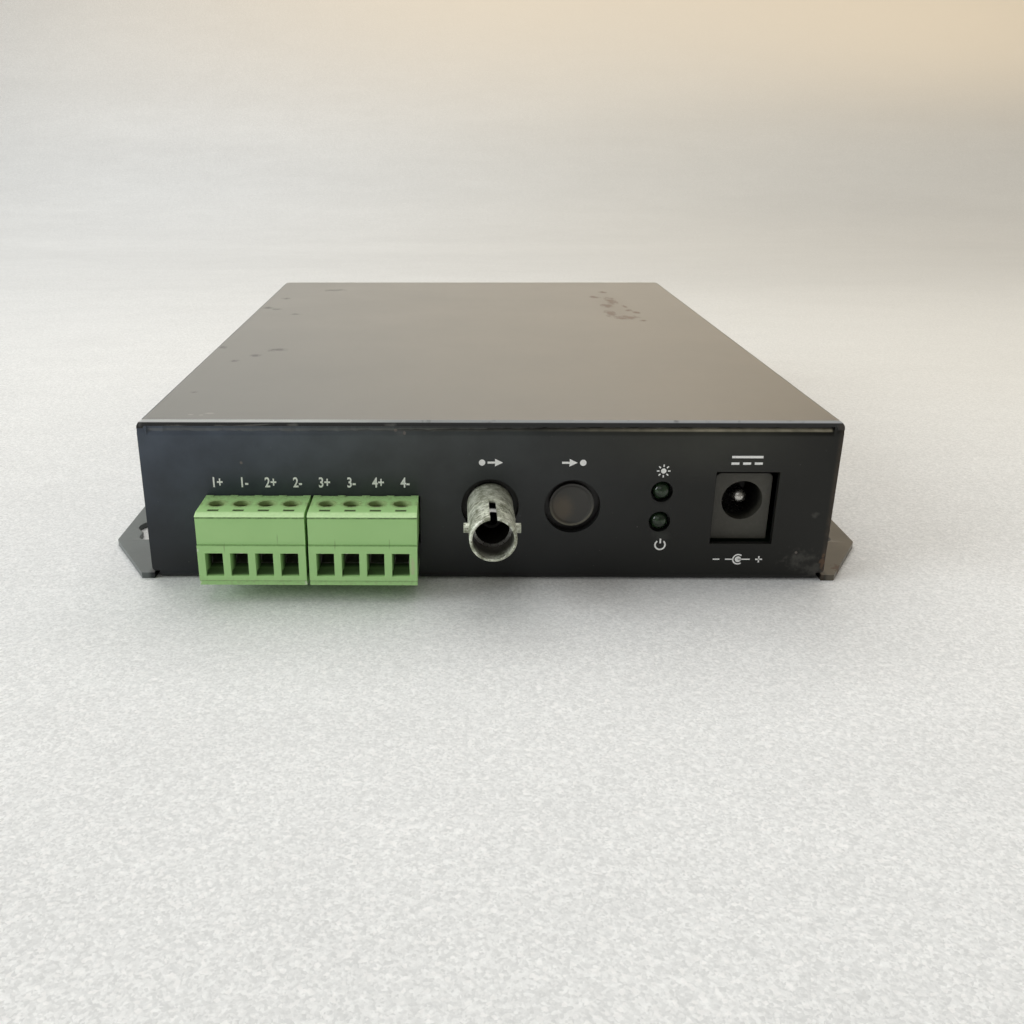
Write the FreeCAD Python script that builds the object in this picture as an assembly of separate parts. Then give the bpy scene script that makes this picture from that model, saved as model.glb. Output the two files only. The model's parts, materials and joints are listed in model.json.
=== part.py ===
import FreeCAD, Part
import math
import os

V = FreeCAD.Vector

# Frame: millimetres, X across the box, front panel towards -Y, Z up.
# The origin is the middle of the base plate's underside.

# Enclosure
case_width = 108.0       # across the end panels and the cover's side walls
case_depth = 146.0       # front panel's face to rear panel's face
case_height = 26.6       # underside of the base to the top of the cover
base_sheet = 1.0
cover_sheet = 1.0
base_bend = 0.4          # inside radius of the base's folds
cover_bend = 0.4         # inside radius of the cover's folds
cover_fit = 0.2          # room between the cover and the folded base
panel_flange = 8.0       # return along the top of each end panel
panel_corner = 0.5       # rounded corners of the panels' upright edges
flange_slit = 0.2        # relief cut where a flange's fold ends
tab_gap = 0.6            # from the flange's fold to the tab at its end
tab_drop = 10.0          # tab folded down from each end of a flange
relief_width = 0.95      # notch where a panel's lower fold ends beside an ear
relief_depth = 1.2

# Mounting ears
ear_width = 10.0
ear_land = 1.8           # square part of the ear's front edge, outside the cover
ear_taper = 13.8         # length of the slanted corner
ear_tip_radius = 1.5
key_head_r = 3.0         # round end of the keyhole, which passes a screw's head
key_slot_r = 1.6         # half the width of the keyhole's slot
key_slot_run = 4.6       # from the round end to the slot's end, towards the front
key_inset = 20.1         # round end behind the panel's face

# Machine screws of the cover and the board
screw_r = 1.5
screw_head_r = 2.8
screw_head_height = 1.9
screw_head_slope = 0.8   # bevel around the head
screw_drive_width = 0.8
screw_drive_depth = 0.9
screw_drive_reach = 1.3  # half the length of the cross
thread_fit = 0.03        # radial room where a screw is tapped in
screw_room = 0.2         # radial room in a plain screw hole
cover_screw_length = 5.0

# Circuit board
standoff_height = 4.0
standoff_across = 5.5    # hexagon, across its flats
standoff_inset_x = 5.0   # from the board's edges
standoff_inset_y = 21.0
board_thickness = 1.6
board_side_gap = 3.8     # inside the panels' width
board_end_gap = 2.0      # behind the end panels' sheets
board_screw_length = 4.6
lead_room = 0.1          # around a lead in its square board hole

# Places across the front panel, as shares of half its width
terminal_share = -0.5198 # between the two terminal blocks
fiber_share = 0.007
lamp_share = 0.5133
jack_share = 0.7614

# Pluggable terminals: two blocks side by side
ways = 4
pitch = 3.81
plug_end = 0.58          # housing beyond the outer ways
plug_gap = 0.45          # between the two plugs
plug_reach = 8.8         # plug's face before the panel
plug_drop = 3.7          # plug's underside below the board's top
plug_seat = 0.2          # between the plug's shoulder and the header's face
plug_lip = 0.75          # housing over the screw heads
plug_bevel_run = 1.1
plug_bevel_drop = 0.4
plug_foot_height = 0.75
plug_foot_step = 0.2
mark_height = 4.6        # recessed marking band on the plug's face
mark_depth = 0.3
probe_slit = 1.6         # test slit before each screw
probe_slit_width = 0.3
probe_slit_inset = 1.7   # behind the plug's face
code_notch = 2.6         # coding notch behind each screw
code_notch_depth = 0.8
code_notch_drop = 0.1
nose_length = 6.5
nose_fit = 0.15          # around the nose in the header
nose_wall = 0.6
header_wall = 0.8
header_height = 7.4
header_back = 1.2
cutout_room = 0.25       # around the headers in the panel
pin_size = 1.0
pin_fit = 0.03
pin_rise = 0.5           # pin above the contact's bar
pin_tip_inset = 1.0      # pin's tip behind the header's face
pin_bend = 0.4
pin_bend_run = 1.6       # upright leg behind the header
lead_tail = 1.5          # lead below the board
contact_width = 2.1
contact_bar_width = 1.6
contact_sheet = 0.7
contact_height = 2.1
contact_fit = 0.05
cage_width = 2.9
cage_side = 0.4
cage_floor = 0.6
cage_top = 1.0
cage_length = 3.4
cage_fit = 0.1
cage_rest = 0.15         # cage's top above the bar with the clamp open
wire_space = 2.8         # open height under the bar
clamp_travel = 2.2       # cage's rise from open to shut
clamp_inset = 4.8        # screw's axis behind the plug's face
entry_flare_side = 0.3
entry_flare_down = 0.95
clamp_screw_r = 1.0
clamp_screw_fit = 0.04
clamp_head_r = 1.4
clamp_head_height = 1.2
clamp_head_fit = 0.1
clamp_mouth_r = 1.25
clamp_slot_width = 0.45
clamp_slot_depth = 0.6

# Fibre port
fiber_axis_height = 6.0  # above the board
fiber_barrel_r = 3.5
fiber_root_r = 3.6
fiber_wall = 0.45
fiber_reach = 13.8       # tip before the panel's face
fiber_root_reach = 6.6
fiber_chamfer = 0.2
fiber_key_width = 1.05
fiber_key_length = 7.0
fiber_lug_r = 0.75
fiber_lug_span = 8.5
fiber_lug_inset = 4.7    # behind the tip
fiber_hole_r = 4.5
fiber_block_width = 12.4
fiber_block_height = 11.6
fiber_block_depth = 9.0
fiber_block_gap = 0.3    # behind the panel's sheet
fiber_block_radius = 1.0
ferrule_r = 1.25
sleeve_wall = 0.4
sleeve_fit = 0.02
sleeve_inset = 8.8       # sleeve's rim behind the tip
sleeve_seat = 3.0        # length held by the block
ring_inset = 4.6         # retaining ring's face behind the tip
ring_width = 0.45
ring_length = 0.35
ring_fit = 0.03
detector_r = 2.4
detector_flange_r = 2.8
detector_length = 4.5
detector_flange = 1.0

# Blanked second port
port_pitch = 12.9
blank_hole_r = 4.4
blank_rim = 1.4          # rim beyond the panel's hole, behind the sheet
blank_disc_r = 3.5
blank_disc_inset = 0.75  # disc's edge behind the panel's face
blank_disc_edge = 0.2    # flat edge of the disc
blank_dish = 0.25        # hollow in the disc
blank_slope = 0.4        # sloped wall of the hollow
blank_groove = 0.8       # ring groove around the disc, behind the sheet
blank_sheet = 0.9

# Indicator lamps
lamp_r = 1.5
lamp_hole_r = 1.7
lamp_flange_r = 1.9
lamp_flange = 1.0
lamp_length = 5.2        # flange to the dome's tip
lamp_proud = 0.3         # dome's tip before the panel's face
lamp_low_height = 3.5    # axis above the board
lamp_spacing = 5.0
lamp_fit = 0.05
holder_width = 4.8
holder_depth = 5.6
holder_cap = 2.4         # holder above the upper lamp's axis
holder_gap = 0.4         # behind the panel's sheet
lamp_lead = 0.5
lamp_lead_spacing = 2.54
lamp_lead_bend = 0.4
lamp_lead_run = 1.4

# Power jack
jack_width = 8.8
jack_height = 11.0
jack_depth = 14.2
jack_flange = 3.4        # depth of the square front
jack_waist = 0.4         # rear part narrower on each side
jack_axis_height = 6.5
jack_hole_r = 3.2
jack_hole_depth = 9.6
jack_pin_r = 1.25
jack_pin_inset = 1.2     # pin's tip behind the jack's face
jack_pin_tail = 2.0
jack_pin_fit = 0.02
jack_face_inset = 1.75   # behind the panel's face
jack_corner_radius = 0.8
window_margin = 0.5
window_rise = 0.26
spring_sheet = 0.4
spring_width = 3.0
spring_fit = 0.05

# Video jacks on the rear panel
video_count = 4
video_side_inset = 15.3  # outer jacks' axes from the panel's upright edges
video_axis_height = 7.4
video_block_width = 14.4
video_block_height = 14.2
video_block_depth = 12.0
video_block_radius = 0.8
video_thread_r = 6.2
video_hole_room = 0.15
video_thread_reach = 4.6
video_barrel_r = 4.8
video_reach = 15.0
video_bore_r = 4.05
video_bore_depth = 11.0
video_chamfer = 0.4
video_lug_r = 1.0
video_lug_span = 11.0
video_lug_inset = 4.8
video_core_r = 2.4
video_core_inset = 2.6   # insulator's face behind the barrel's rim
video_core_seat = 2.5    # insulator held by the block
video_contact_r = 1.05
video_contact_bore_r = 0.65
video_contact_bore = 5.0
video_fit = 0.02
nut_across = 15.0
nut_thickness = 2.4
washer_r = 7.6
washer_thickness = 0.6
nut_fit = 0.05

# Board components
chip_size = 20.0
chip_thickness = 1.5
chip_radius = 0.6
codec_length = 10.3
codec_width = 7.5
codec_thickness = 2.3
codec_row_gap = 12.0     # codecs before the video jacks' blocks
capacitor_r = 4.0
capacitor_height = 10.5
capacitor_chamfer = 0.4
capacitor_spacing = 11.0
coil_size = 9.0
coil_height = 5.0
coil_radius = 2.0
supply_gap = 17.0        # supply parts behind the power jack

# Derived levels and faces
front = -case_depth / 2
rear = case_depth / 2
panel_half = case_width / 2 - cover_sheet - cover_fit
panel_top = case_height - cover_sheet - cover_fit
edge_top = panel_top - cover_bend
fold_r = base_bend + base_sheet
board_under = base_sheet + standoff_height
board_top = board_under + board_thickness
board_half = panel_half - board_side_gap
board_front = front + base_sheet + board_end_gap
board_rear = rear - base_sheet - board_end_gap

terminal_x = terminal_share * panel_half
fiber_x = fiber_share * panel_half
lamp_x = lamp_share * panel_half
jack_x = jack_share * panel_half
video_pitch = 2 * (panel_half - video_side_inset) / (video_count - 1)

plug_width = ways * pitch + 2 * plug_end
plug_face = front - plug_reach
plug_shoulder = front - plug_seat
plug_under = board_top - plug_drop
nose_under = board_top + header_wall + nose_fit
nose_top = board_top + header_height - header_wall - nose_fit
nose_end = front + nose_length
bar_under = nose_under + nose_wall + contact_fit
bar_top = bar_under + contact_sheet
pin_axis = bar_top + pin_rise + pin_size / 2
header_inner_back = nose_end + nose_fit
header_rear = header_inner_back + header_back
clamp_y = plug_face + clamp_inset
cage_window = bar_under - wire_space
cage_under = cage_window - cage_floor
cage_ceiling = bar_top + cage_rest
cage_crown = cage_ceiling + cage_top
pocket_under = cage_under - cage_fit
pocket_top = cage_crown + clamp_travel + cage_fit
head_under = pocket_top + contact_fit
head_top = head_under + clamp_head_height
chamber_top = head_top + clamp_head_fit
plug_top = chamber_top + plug_lip

fiber_z = board_top + fiber_axis_height
fiber_tip = front - fiber_reach
fiber_bore_r = fiber_barrel_r - fiber_wall
fiber_block_front = front + base_sheet + fiber_block_gap
fiber_block_rear = fiber_block_front + fiber_block_depth
sleeve_r = ferrule_r + sleeve_wall
sleeve_front = fiber_tip + sleeve_inset
sleeve_rear = fiber_block_front + sleeve_seat
lamp_low_z = board_top + lamp_low_height
jack_face = front + jack_face_inset
jack_axis = board_top + jack_axis_height
jack_rear = jack_face + jack_depth
video_z = board_top + video_axis_height
video_block_face = rear - base_sheet


# Plane points become space points on a plane across one axis

def across_x(x):
    return lambda p: V(x, p.x, p.y)


def across_y(y):
    return lambda p: V(p.x, y, p.y)


def across_z(z):
    return lambda p: V(p.x, p.y, z)


def outline(points, place, radii=None):
    """Closed wire through plane points, with an arc at each corner that has a radius."""
    radii = radii or [0.0] * len(points)
    flat = [V(a, b, 0) for a, b in points]
    corners = []
    for i, corner in enumerate(flat):
        back = (flat[i - 1] - corner).normalize()
        ahead = (flat[(i + 1) % len(flat)] - corner).normalize()
        if radii[i] <= 0:
            corners.append((corner, None, corner))
            continue
        half = back.getAngle(ahead) / 2
        run = radii[i] / math.tan(half)
        bulge = radii[i] / math.sin(half) - radii[i]
        middle = corner + (back + ahead).normalize() * bulge
        corners.append((corner + back * run, middle, corner + ahead * run))
    edges = []
    for i, (start, middle, end) in enumerate(corners):
        if middle is not None:
            edges.append(Part.Arc(place(start), place(middle), place(end)).toShape())
        following = corners[(i + 1) % len(corners)][0]
        if (following - end).Length > 1e-6:
            edges.append(Part.makeLine(place(end), place(following)))
    return Part.Wire(edges)


def prism(points, place, along, radii=None):
    return Part.Face(outline(points, place, radii)).extrude(along)


def span(x0, x1, y0, y1, z0, z1, radius=0.0):
    """Upright block between limits, with rounded upright edges."""
    corners = [(x0, y0), (x1, y0), (x1, y1), (x0, y1)]
    return prism(corners, across_z(z0), V(0, 0, z1 - z0), [radius] * 4)


def turned(points, x, z, radii=None):
    """Solid of revolution about the line along Y through (x, z); points are (y, radius)."""
    wire = outline(points, lambda p: V(x, p.x, z + p.y), radii)
    return Part.Face(wire).revolve(V(x, 0, z), V(0, 1, 0), 360)


def tube_profile(start, end, inner, outer):
    return [(start, inner), (start, outer), (end, outer), (end, inner)]


def turned_up(points, x, y, radii=None):
    """Solid of revolution about the upright line through (x, y); points are (radius, z)."""
    wire = outline(points, lambda p: V(x + p.x, y, p.y), radii)
    return Part.Face(wire).revolve(V(x, y, 0), V(0, 0, 1), 360)


def bore(x, y, z, direction, r, length):
    return Part.makeCylinder(r, length, V(x, y, z), direction)


def folded(path, sheet, bend, place, along):
    """Sheet or square wire folded along a path of outer corners, all turning the same way."""
    flat = [V(a, b, 0) for a, b in path]
    steps = [(b - a).normalize() for a, b in zip(flat, flat[1:])]
    turn = 1.0 if steps[0].cross(steps[1]).z > 0 else -1.0
    sides = [V(-s.y, s.x, 0) * turn * sheet for s in steps]
    inner = [flat[0] + sides[0]]
    inner += [corner + a + b for corner, a, b in zip(flat[1:], sides, sides[1:])]
    inner.append(flat[-1] + sides[-1])
    points = [(p.x, p.y) for p in flat + inner[::-1]]
    outer_radii = [0.0] + [bend + sheet] * (len(flat) - 2) + [0.0]
    inner_radii = [0.0] + [bend] * (len(flat) - 2) + [0.0]
    return prism(points, place, along, outer_radii + inner_radii)


def hexagon(u, v, across):
    corner_r = across / math.sqrt(3)
    turns = [math.radians(60 * i) for i in range(6)]
    return [(u + corner_r * math.cos(t), v + corner_r * math.sin(t)) for t in turns]


def placed(shape, base, direction):
    """Copy of a shape that was made along +Z, set on a base point along a direction."""
    copy = shape.copy()
    copy.Placement = FreeCAD.Placement(base, FreeCAD.Rotation(V(0, 0, 1), direction))
    return copy


def cross_drive(top):
    half = screw_drive_width / 2
    reach = screw_drive_reach
    low = top - screw_drive_depth
    return span(-reach, reach, -half, half, low, top + 1).fuse(span(-half, half, -reach, reach, low, top + 1))


def machine_screw(length):
    """Raised-head screw with a cross drive; the head's underside is at z = 0 and the shank points down."""
    top = screw_head_height
    crown = screw_head_r - screw_head_slope
    profile = [(0, -length), (screw_r, -length), (screw_r, 0), (screw_head_r, 0),
               (screw_head_r, top - screw_head_slope), (crown, top), (0, top)]
    return turned_up(profile, 0, 0).cut(cross_drive(top))


def countersunk_screw(length):
    """Screw with a cone head as deep as the cover's sheet; the head's face is at z = 0."""
    profile = [(0, -length), (screw_r, -length), (screw_r, -cover_sheet), (screw_r + cover_sheet, 0), (0, 0)]
    return turned_up(profile, 0, 0).cut(cross_drive(0))


def countersunk_hole():
    neck = screw_r + thread_fit
    rim = neck + cover_sheet
    profile = [(0, -2 * cover_sheet), (neck, -2 * cover_sheet), (neck, -cover_sheet),
               (rim, 0), (rim, cover_sheet), (0, cover_sheet)]
    return turned_up(profile, 0, 0)


# Folded base with its two end panels and the ears

def keyhole(x, y):
    head = bore(x, y, -base_sheet, V(0, 0, 1), key_head_r, 3 * base_sheet)
    slot_end = y - key_slot_run
    slot = bore(x, slot_end, -base_sheet, V(0, 0, 1), key_slot_r, 3 * base_sheet)
    neck = span(x - key_slot_r, x + key_slot_r, slot_end, y, -base_sheet, 2 * base_sheet)
    return [head, slot, neck]


def ear(side):
    inner = panel_half
    notch = inner + relief_width
    land = case_width / 2 + ear_land
    tip = case_width / 2 + ear_width
    half = case_depth / 2
    quarter = [
        (inner, fold_r + relief_depth - half),
        (notch, fold_r + relief_depth - half),
        (notch, -half),
        (land, -half),
        (tip, ear_taper - half),
    ]
    points = quarter + [(x, -y) for x, y in reversed(quarter)]
    radii = [0, 0, 0, 0, ear_tip_radius, ear_tip_radius, 0, 0, 0, 0]
    return prism([(side * x, y) for x, y in points], across_z(0), V(0, 0, base_sheet), radii)


def panel_edge(side, end):
    """Upright edge of an end panel, which covers the end of the cover's side wall."""
    outer = case_width / 2
    root = panel_half - fold_r
    neck = panel_top - fold_r
    points = [(root, fold_r), (outer, fold_r), (outer, edge_top), (panel_half, edge_top),
              (panel_half, neck), (root, neck)]
    radii = [0, panel_corner, panel_corner, 0, 0, 0]
    return prism([(side * x, z) for x, z in points], across_y(end * case_depth / 2),
                 V(0, -end * base_sheet, 0), radii)


def flange_relief(side, end):
    """Cuts at a flange's end: a slit beside the panel's upper corner and the tab's seat."""
    face = end * case_depth / 2
    edges = sorted([side * (panel_half - flange_slit), side * panel_half])
    walls = sorted([face + end, face - end * (fold_r + tab_gap)])
    neck = panel_top - fold_r
    slit = span(edges[0], edges[1], walls[0], walls[1], neck, panel_top + 1)
    edges = sorted([side * (panel_half - 2 * fold_r), side * (panel_half + 1)])
    walls = sorted([face - end * (fold_r + tab_gap), face - end * (panel_flange + 1)])
    return [slit, span(edges[0], edges[1], walls[0], walls[1], neck, panel_top + 1)]


def flange_tab(side, end):
    """Tab folded down from a flange's end, tapped for a cover screw."""
    edge = side * panel_half
    root = edge - side * 2 * fold_r
    path = [(root, panel_top), (edge, panel_top), (edge, panel_top - tab_drop)]
    start = end * (case_depth / 2 - fold_r - tab_gap)
    width = panel_flange - fold_r - tab_gap
    return folded(path, base_sheet, base_bend, across_y(start), V(0, -end * width, 0))


def cover_screw_points():
    inset = (fold_r + tab_gap + panel_flange) / 2
    z = panel_top - (fold_r + tab_drop) / 2
    for side in (-1, 1):
        for end in (-1, 1):
            yield side, end * (case_depth / 2 - inset), z


def terminal_centres():
    step = (plug_width + plug_gap) / 2
    return [terminal_x - step, terminal_x + step]


def way_centres(centre):
    return [centre + (i - (ways - 1) / 2) * pitch for i in range(ways)]


def video_centres():
    return [(i - (video_count - 1) / 2) * video_pitch for i in range(video_count)]


def front_openings():
    left, right = terminal_centres()
    reach = plug_width / 2 + cutout_room
    low, high = front - 1, front + base_sheet + 1
    cuts = [span(left - reach, right + reach, low, high,
                 board_top - cutout_room, board_top + header_height + cutout_room)]
    depth = high - low
    ahead = V(0, 1, 0)
    cuts.append(bore(fiber_x, low, fiber_z, ahead, fiber_hole_r, depth))
    cuts.append(bore(fiber_x + port_pitch, low, fiber_z, ahead, blank_hole_r, depth))
    for level in (0, 1):
        cuts.append(bore(lamp_x, low, lamp_low_z + level * lamp_spacing, ahead, lamp_hole_r, depth))
    half = jack_width / 2 + window_margin
    sill = board_top - window_margin + window_rise
    cuts.append(span(jack_x - half, jack_x + half, low, high, sill, sill + jack_height + 2 * window_margin))
    return cuts


def base_chassis():
    path = [
        (front + panel_flange, panel_top),
        (front, panel_top),
        (front, 0),
        (rear, 0),
        (rear, panel_top),
        (rear - panel_flange, panel_top),
    ]
    base = folded(path, base_sheet, base_bend, across_x(-panel_half), V(2 * panel_half, 0, 0))
    inside = prism([(-panel_half, 0), (panel_half, 0), (panel_half, panel_top), (-panel_half, panel_top)],
                   across_y(front), V(0, case_depth, 0), [0, 0, cover_bend, cover_bend])
    base = base.common(inside)
    corners = [(side, end) for side in (-1, 1) for end in (-1, 1)]
    base = base.cut([cut for side, end in corners for cut in flange_relief(side, end)])
    added = [ear(-1), ear(1)]
    for side, end in corners:
        added += [panel_edge(side, end), flange_tab(side, end)]
    base = base.fuse(added)
    cuts = front_openings()
    for x in video_centres():
        cuts.append(bore(x, rear + 1, video_z, V(0, -1, 0), video_thread_r + video_hole_room, base_sheet + 2))
    for side, y, z in cover_screw_points():
        start = side * (panel_half + 1)
        cuts.append(bore(start, y, z, V(-side, 0, 0), screw_r + thread_fit, base_sheet + 2))
    for side in (-1, 1):
        for end in (-1, 1):
            cuts += keyhole(side * (case_width + ear_width) / 2, end * (case_depth / 2 - key_inset))
    return base.cut(cuts).removeSplitter()


def top_cover():
    half = case_width / 2
    path = [(-half, base_sheet), (-half, case_height), (half, case_height), (half, base_sheet)]
    cover = folded(path, cover_sheet, cover_bend, across_y(front), V(0, case_depth, 0))
    cuts = []
    for end in (-1, 1):
        face = end * case_depth / 2
        walls = sorted([face + end, face - end * (base_sheet + cover_fit)])
        cuts.append(span(-half - 1, half + 1, walls[0], walls[1], 0, edge_top + cover_fit))
    hole = countersunk_hole()
    cuts += [placed(hole, V(side * half, y, z), V(side, 0, 0)) for side, y, z in cover_screw_points()]
    return cover.cut(cuts).removeSplitter()


def cover_screws():
    screw = countersunk_screw(cover_screw_length)
    wall = case_width / 2
    return [placed(screw, V(side * wall, y, z), V(side, 0, 0)) for side, y, z in cover_screw_points()]


# Circuit board and what holds it

def standoff_points():
    x = board_half - standoff_inset_x
    for side in (-1, 1):
        for y in (board_front + standoff_inset_y, board_rear - standoff_inset_y):
            yield side * x, y


def lamp_lead_points():
    y = front + base_sheet + holder_gap + holder_depth + lamp_lead_run
    for level in (0, 1):
        for side in (-1, 1):
            yield lamp_x + side * lamp_lead_spacing / 2, y + level * lamp_lead_spacing, level


def circuit_board():
    board = span(-board_half, board_half, board_front, board_rear, board_under, board_top)
    low, high = board_under - 1, board_top + 1
    cuts = [bore(x, y, low, V(0, 0, 1), screw_r + screw_room, high - low) for x, y in standoff_points()]
    holes = []
    for centre in terminal_centres():
        holes += [(x, header_rear + pin_bend_run - pin_size / 2, pin_size) for x in way_centres(centre)]
    holes += [(x, y - lamp_lead / 2, lamp_lead) for x, y, level in lamp_lead_points()]
    for x, y, size in holes:
        half = size / 2 + lead_room
        cuts.append(span(x - half, x + half, y - half, y + half, low, high))
    return board.cut(cuts)


def board_standoffs():
    posts = []
    for x, y in standoff_points():
        post = prism(hexagon(x, y, standoff_across), across_z(base_sheet), V(0, 0, standoff_height))
        posts.append(post.cut(bore(x, y, base_sheet, V(0, 0, 1), screw_r + thread_fit, standoff_height)))
    return posts


def board_screws():
    screw = machine_screw(board_screw_length)
    return [placed(screw, V(x, y, board_top), V(0, 0, 1)) for x, y in standoff_points()]


# Terminal headers on the board and the plugs that slide into them

def terminal_header(centre):
    half = plug_width / 2
    top = board_top + header_height
    shell = span(centre - half, centre + half, front, header_rear, board_top, top)
    inner = half - header_wall
    cavity = span(centre - inner, centre + inner, front - 1, header_inner_back,
                  board_top + header_wall, top - header_wall)
    grip = pin_size / 2 + pin_fit
    start, end = header_inner_back - 1, header_rear + 1
    holes = [span(x - grip, x + grip, start, end, pin_axis - grip, pin_axis + grip)
             for x in way_centres(centre)]
    return shell.cut([cavity] + holes)


def header_pins(centre):
    tip = front + pin_tip_inset
    leg = header_rear + pin_bend_run
    path = [(tip, pin_axis + pin_size / 2), (leg, pin_axis + pin_size / 2), (leg, board_under - lead_tail)]
    return [folded(path, pin_size, pin_bend, across_x(x - pin_size / 2), V(pin_size, 0, 0))
            for x in way_centres(centre)]


def frame_outline(x, half, low, high, y):
    """Upright rectangle across Y, centred on x."""
    corners = [(x - half, low), (x + half, low), (x + half, high), (x - half, high)]
    return outline(corners, across_y(y))


def wire_entry(x):
    """Funnel from the plug's face into the clamp's pocket."""
    inner_half = cage_width / 2 - cage_side
    outer_half = inner_half + entry_flare_side
    mouth = frame_outline(x, outer_half, cage_window - entry_flare_down, bar_under, plug_face)
    throat = frame_outline(x, inner_half, cage_window, bar_under, clamp_y - cage_length / 2)
    return Part.makeLoft([mouth, throat], True, True)


def clamp_pocket(x):
    half_x = cage_width / 2 + cage_fit
    half_y = cage_length / 2 + cage_fit
    pocket = span(x - half_x, x + half_x, clamp_y - half_y, clamp_y + half_y, pocket_under, pocket_top)
    up = V(0, 0, 1)
    chamber = bore(x, clamp_y, pocket_top, up, clamp_head_r + clamp_head_fit, chamber_top - pocket_top)
    mouth = bore(x, clamp_y, pocket_top, up, clamp_mouth_r, plug_top + 1 - pocket_top)
    half_c = contact_width / 2 + contact_fit
    channel = span(x - half_c, x + half_c, clamp_y, nose_end + 1,
                   bar_under - contact_fit, bar_top + contact_height + contact_fit)
    return [pocket, chamber, mouth, channel]


def terminal_plug(centre):
    half = plug_width / 2
    foot = plug_under + plug_foot_height
    points = [
        (plug_face + plug_foot_step, plug_under),
        (plug_face + plug_foot_step, foot),
        (plug_face, foot),
        (plug_face, plug_top - plug_bevel_drop),
        (plug_face + plug_bevel_run, plug_top),
        (plug_shoulder, plug_top),
        (plug_shoulder, plug_under),
    ]
    body = prism(points, across_x(centre - half), V(plug_width, 0, 0))
    nose_half = half - header_wall - nose_fit
    nose = span(centre - nose_half, centre + nose_half, plug_shoulder, nose_end, nose_under, nose_top)
    body = body.fuse(nose)
    mark_top = plug_top - plug_bevel_drop
    cuts = [span(centre - half - 1, centre + half + 1, plug_face - 1, plug_face + mark_depth,
                 mark_top - mark_height, mark_top)]
    slit_y = plug_face + probe_slit_inset
    for x in way_centres(centre):
        cuts += clamp_pocket(x)
        cuts.append(wire_entry(x))
        cuts.append(span(x - probe_slit / 2, x + probe_slit / 2, slit_y, slit_y + probe_slit_width,
                         plug_top - plug_lip, plug_top + 1))
        cuts.append(span(x - code_notch / 2, x + code_notch / 2, plug_shoulder - code_notch_depth,
                         plug_shoulder + 1, plug_top - code_notch_drop, plug_top + 1))
    return body.cut(cuts).removeSplitter()


def plug_contacts(centre):
    """Bar under each screw that widens into a fork for the header's pin."""
    fork_start = clamp_y + cage_length / 2 + cage_fit + contact_fit
    bar_start = clamp_y - cage_length / 2
    half = contact_width / 2
    bar_half = contact_bar_width / 2
    gap = pin_size / 2 + pin_fit
    fork_end = nose_end - contact_fit
    solids = []
    for x in way_centres(centre):
        bar = span(x - bar_half, x + bar_half, bar_start, fork_start, bar_under, bar_top)
        fork = span(x - half, x + half, fork_start, fork_end, bar_under, bar_top + contact_height)
        slot = span(x - gap, x + gap, fork_start - 1, fork_end + 1, bar_top, bar_top + contact_height + 1)
        solids.append(bar.fuse(fork).cut(slot).removeSplitter())
    return solids


def clamp_cage(x):
    """Box that the screw lifts to pinch a wire under the bar."""
    half = cage_width / 2
    y0 = clamp_y - cage_length / 2
    frame = Part.Face(frame_outline(x, half, cage_under, cage_crown, y0)).extrude(V(0, cage_length, 0))
    inner = half - cage_side
    window = span(x - inner, x + inner, y0 - 1, y0 + cage_length + 1, cage_window, cage_ceiling)
    thread = bore(x, clamp_y, cage_ceiling - 1, V(0, 0, 1), clamp_screw_r + clamp_screw_fit, cage_top + 2)
    return frame.cut([window, thread])


def clamp_screw(x):
    tip = bar_top + contact_fit
    profile = [(0, tip), (clamp_screw_r, tip), (clamp_screw_r, head_under), (clamp_head_r, head_under),
               (clamp_head_r, head_top), (0, head_top)]
    screw = turned_up(profile, x, clamp_y)
    half = clamp_slot_width / 2
    slot = span(x - 2 * clamp_head_r, x + 2 * clamp_head_r, clamp_y - half, clamp_y + half,
                head_top - clamp_slot_depth, head_top + 1)
    return screw.cut(slot)


# Fibre port: a casting with a bayonet barrel, its ferrule sleeve and the detector behind it

def fiber_port():
    half = fiber_block_width / 2
    block = span(fiber_x - half, fiber_x + half, fiber_block_front, fiber_block_rear, board_top,
                 board_top + fiber_block_height, fiber_block_radius)
    root = front - fiber_root_reach
    step = fiber_root_r - fiber_barrel_r
    profile = [(fiber_tip, 0), (fiber_tip, fiber_barrel_r - fiber_chamfer),
               (fiber_tip + fiber_chamfer, fiber_barrel_r), (root, fiber_barrel_r),
               (root + step, fiber_root_r),
               (fiber_block_front + 1, fiber_root_r), (fiber_block_front + 1, 0)]
    barrel = turned(profile, fiber_x, fiber_z)
    lug_y = fiber_tip + fiber_lug_inset
    lugs = bore(fiber_x - fiber_lug_span / 2, lug_y, fiber_z, V(1, 0, 0), fiber_lug_r, fiber_lug_span)
    port = block.fuse([barrel, lugs])
    behind = V(0, 1, 0)
    detector_seat = fiber_block_rear - detector_length - sleeve_fit
    cuts = [
        bore(fiber_x, fiber_tip - 1, fiber_z, behind, fiber_bore_r, fiber_block_front + 1 - fiber_tip),
        bore(fiber_x, fiber_tip, fiber_z, behind, sleeve_r + sleeve_fit, fiber_block_rear - fiber_tip),
        bore(fiber_x, detector_seat, fiber_z, behind, detector_r + sleeve_fit, detector_length + 1),
        span(fiber_x - fiber_key_width / 2, fiber_x + fiber_key_width / 2, fiber_tip - 1,
             fiber_tip + fiber_key_length, fiber_z, fiber_z + 2 * fiber_barrel_r),
    ]
    return port.cut(cuts).removeSplitter()


def fiber_sleeve():
    return turned(tube_profile(sleeve_front, sleeve_rear, ferrule_r, sleeve_r), fiber_x, fiber_z)


def fiber_ring():
    start = fiber_tip + ring_inset
    outer = fiber_bore_r - ring_fit
    inner = outer - ring_width
    return turned(tube_profile(start, start + ring_length, inner, outer), fiber_x, fiber_z)


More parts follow.
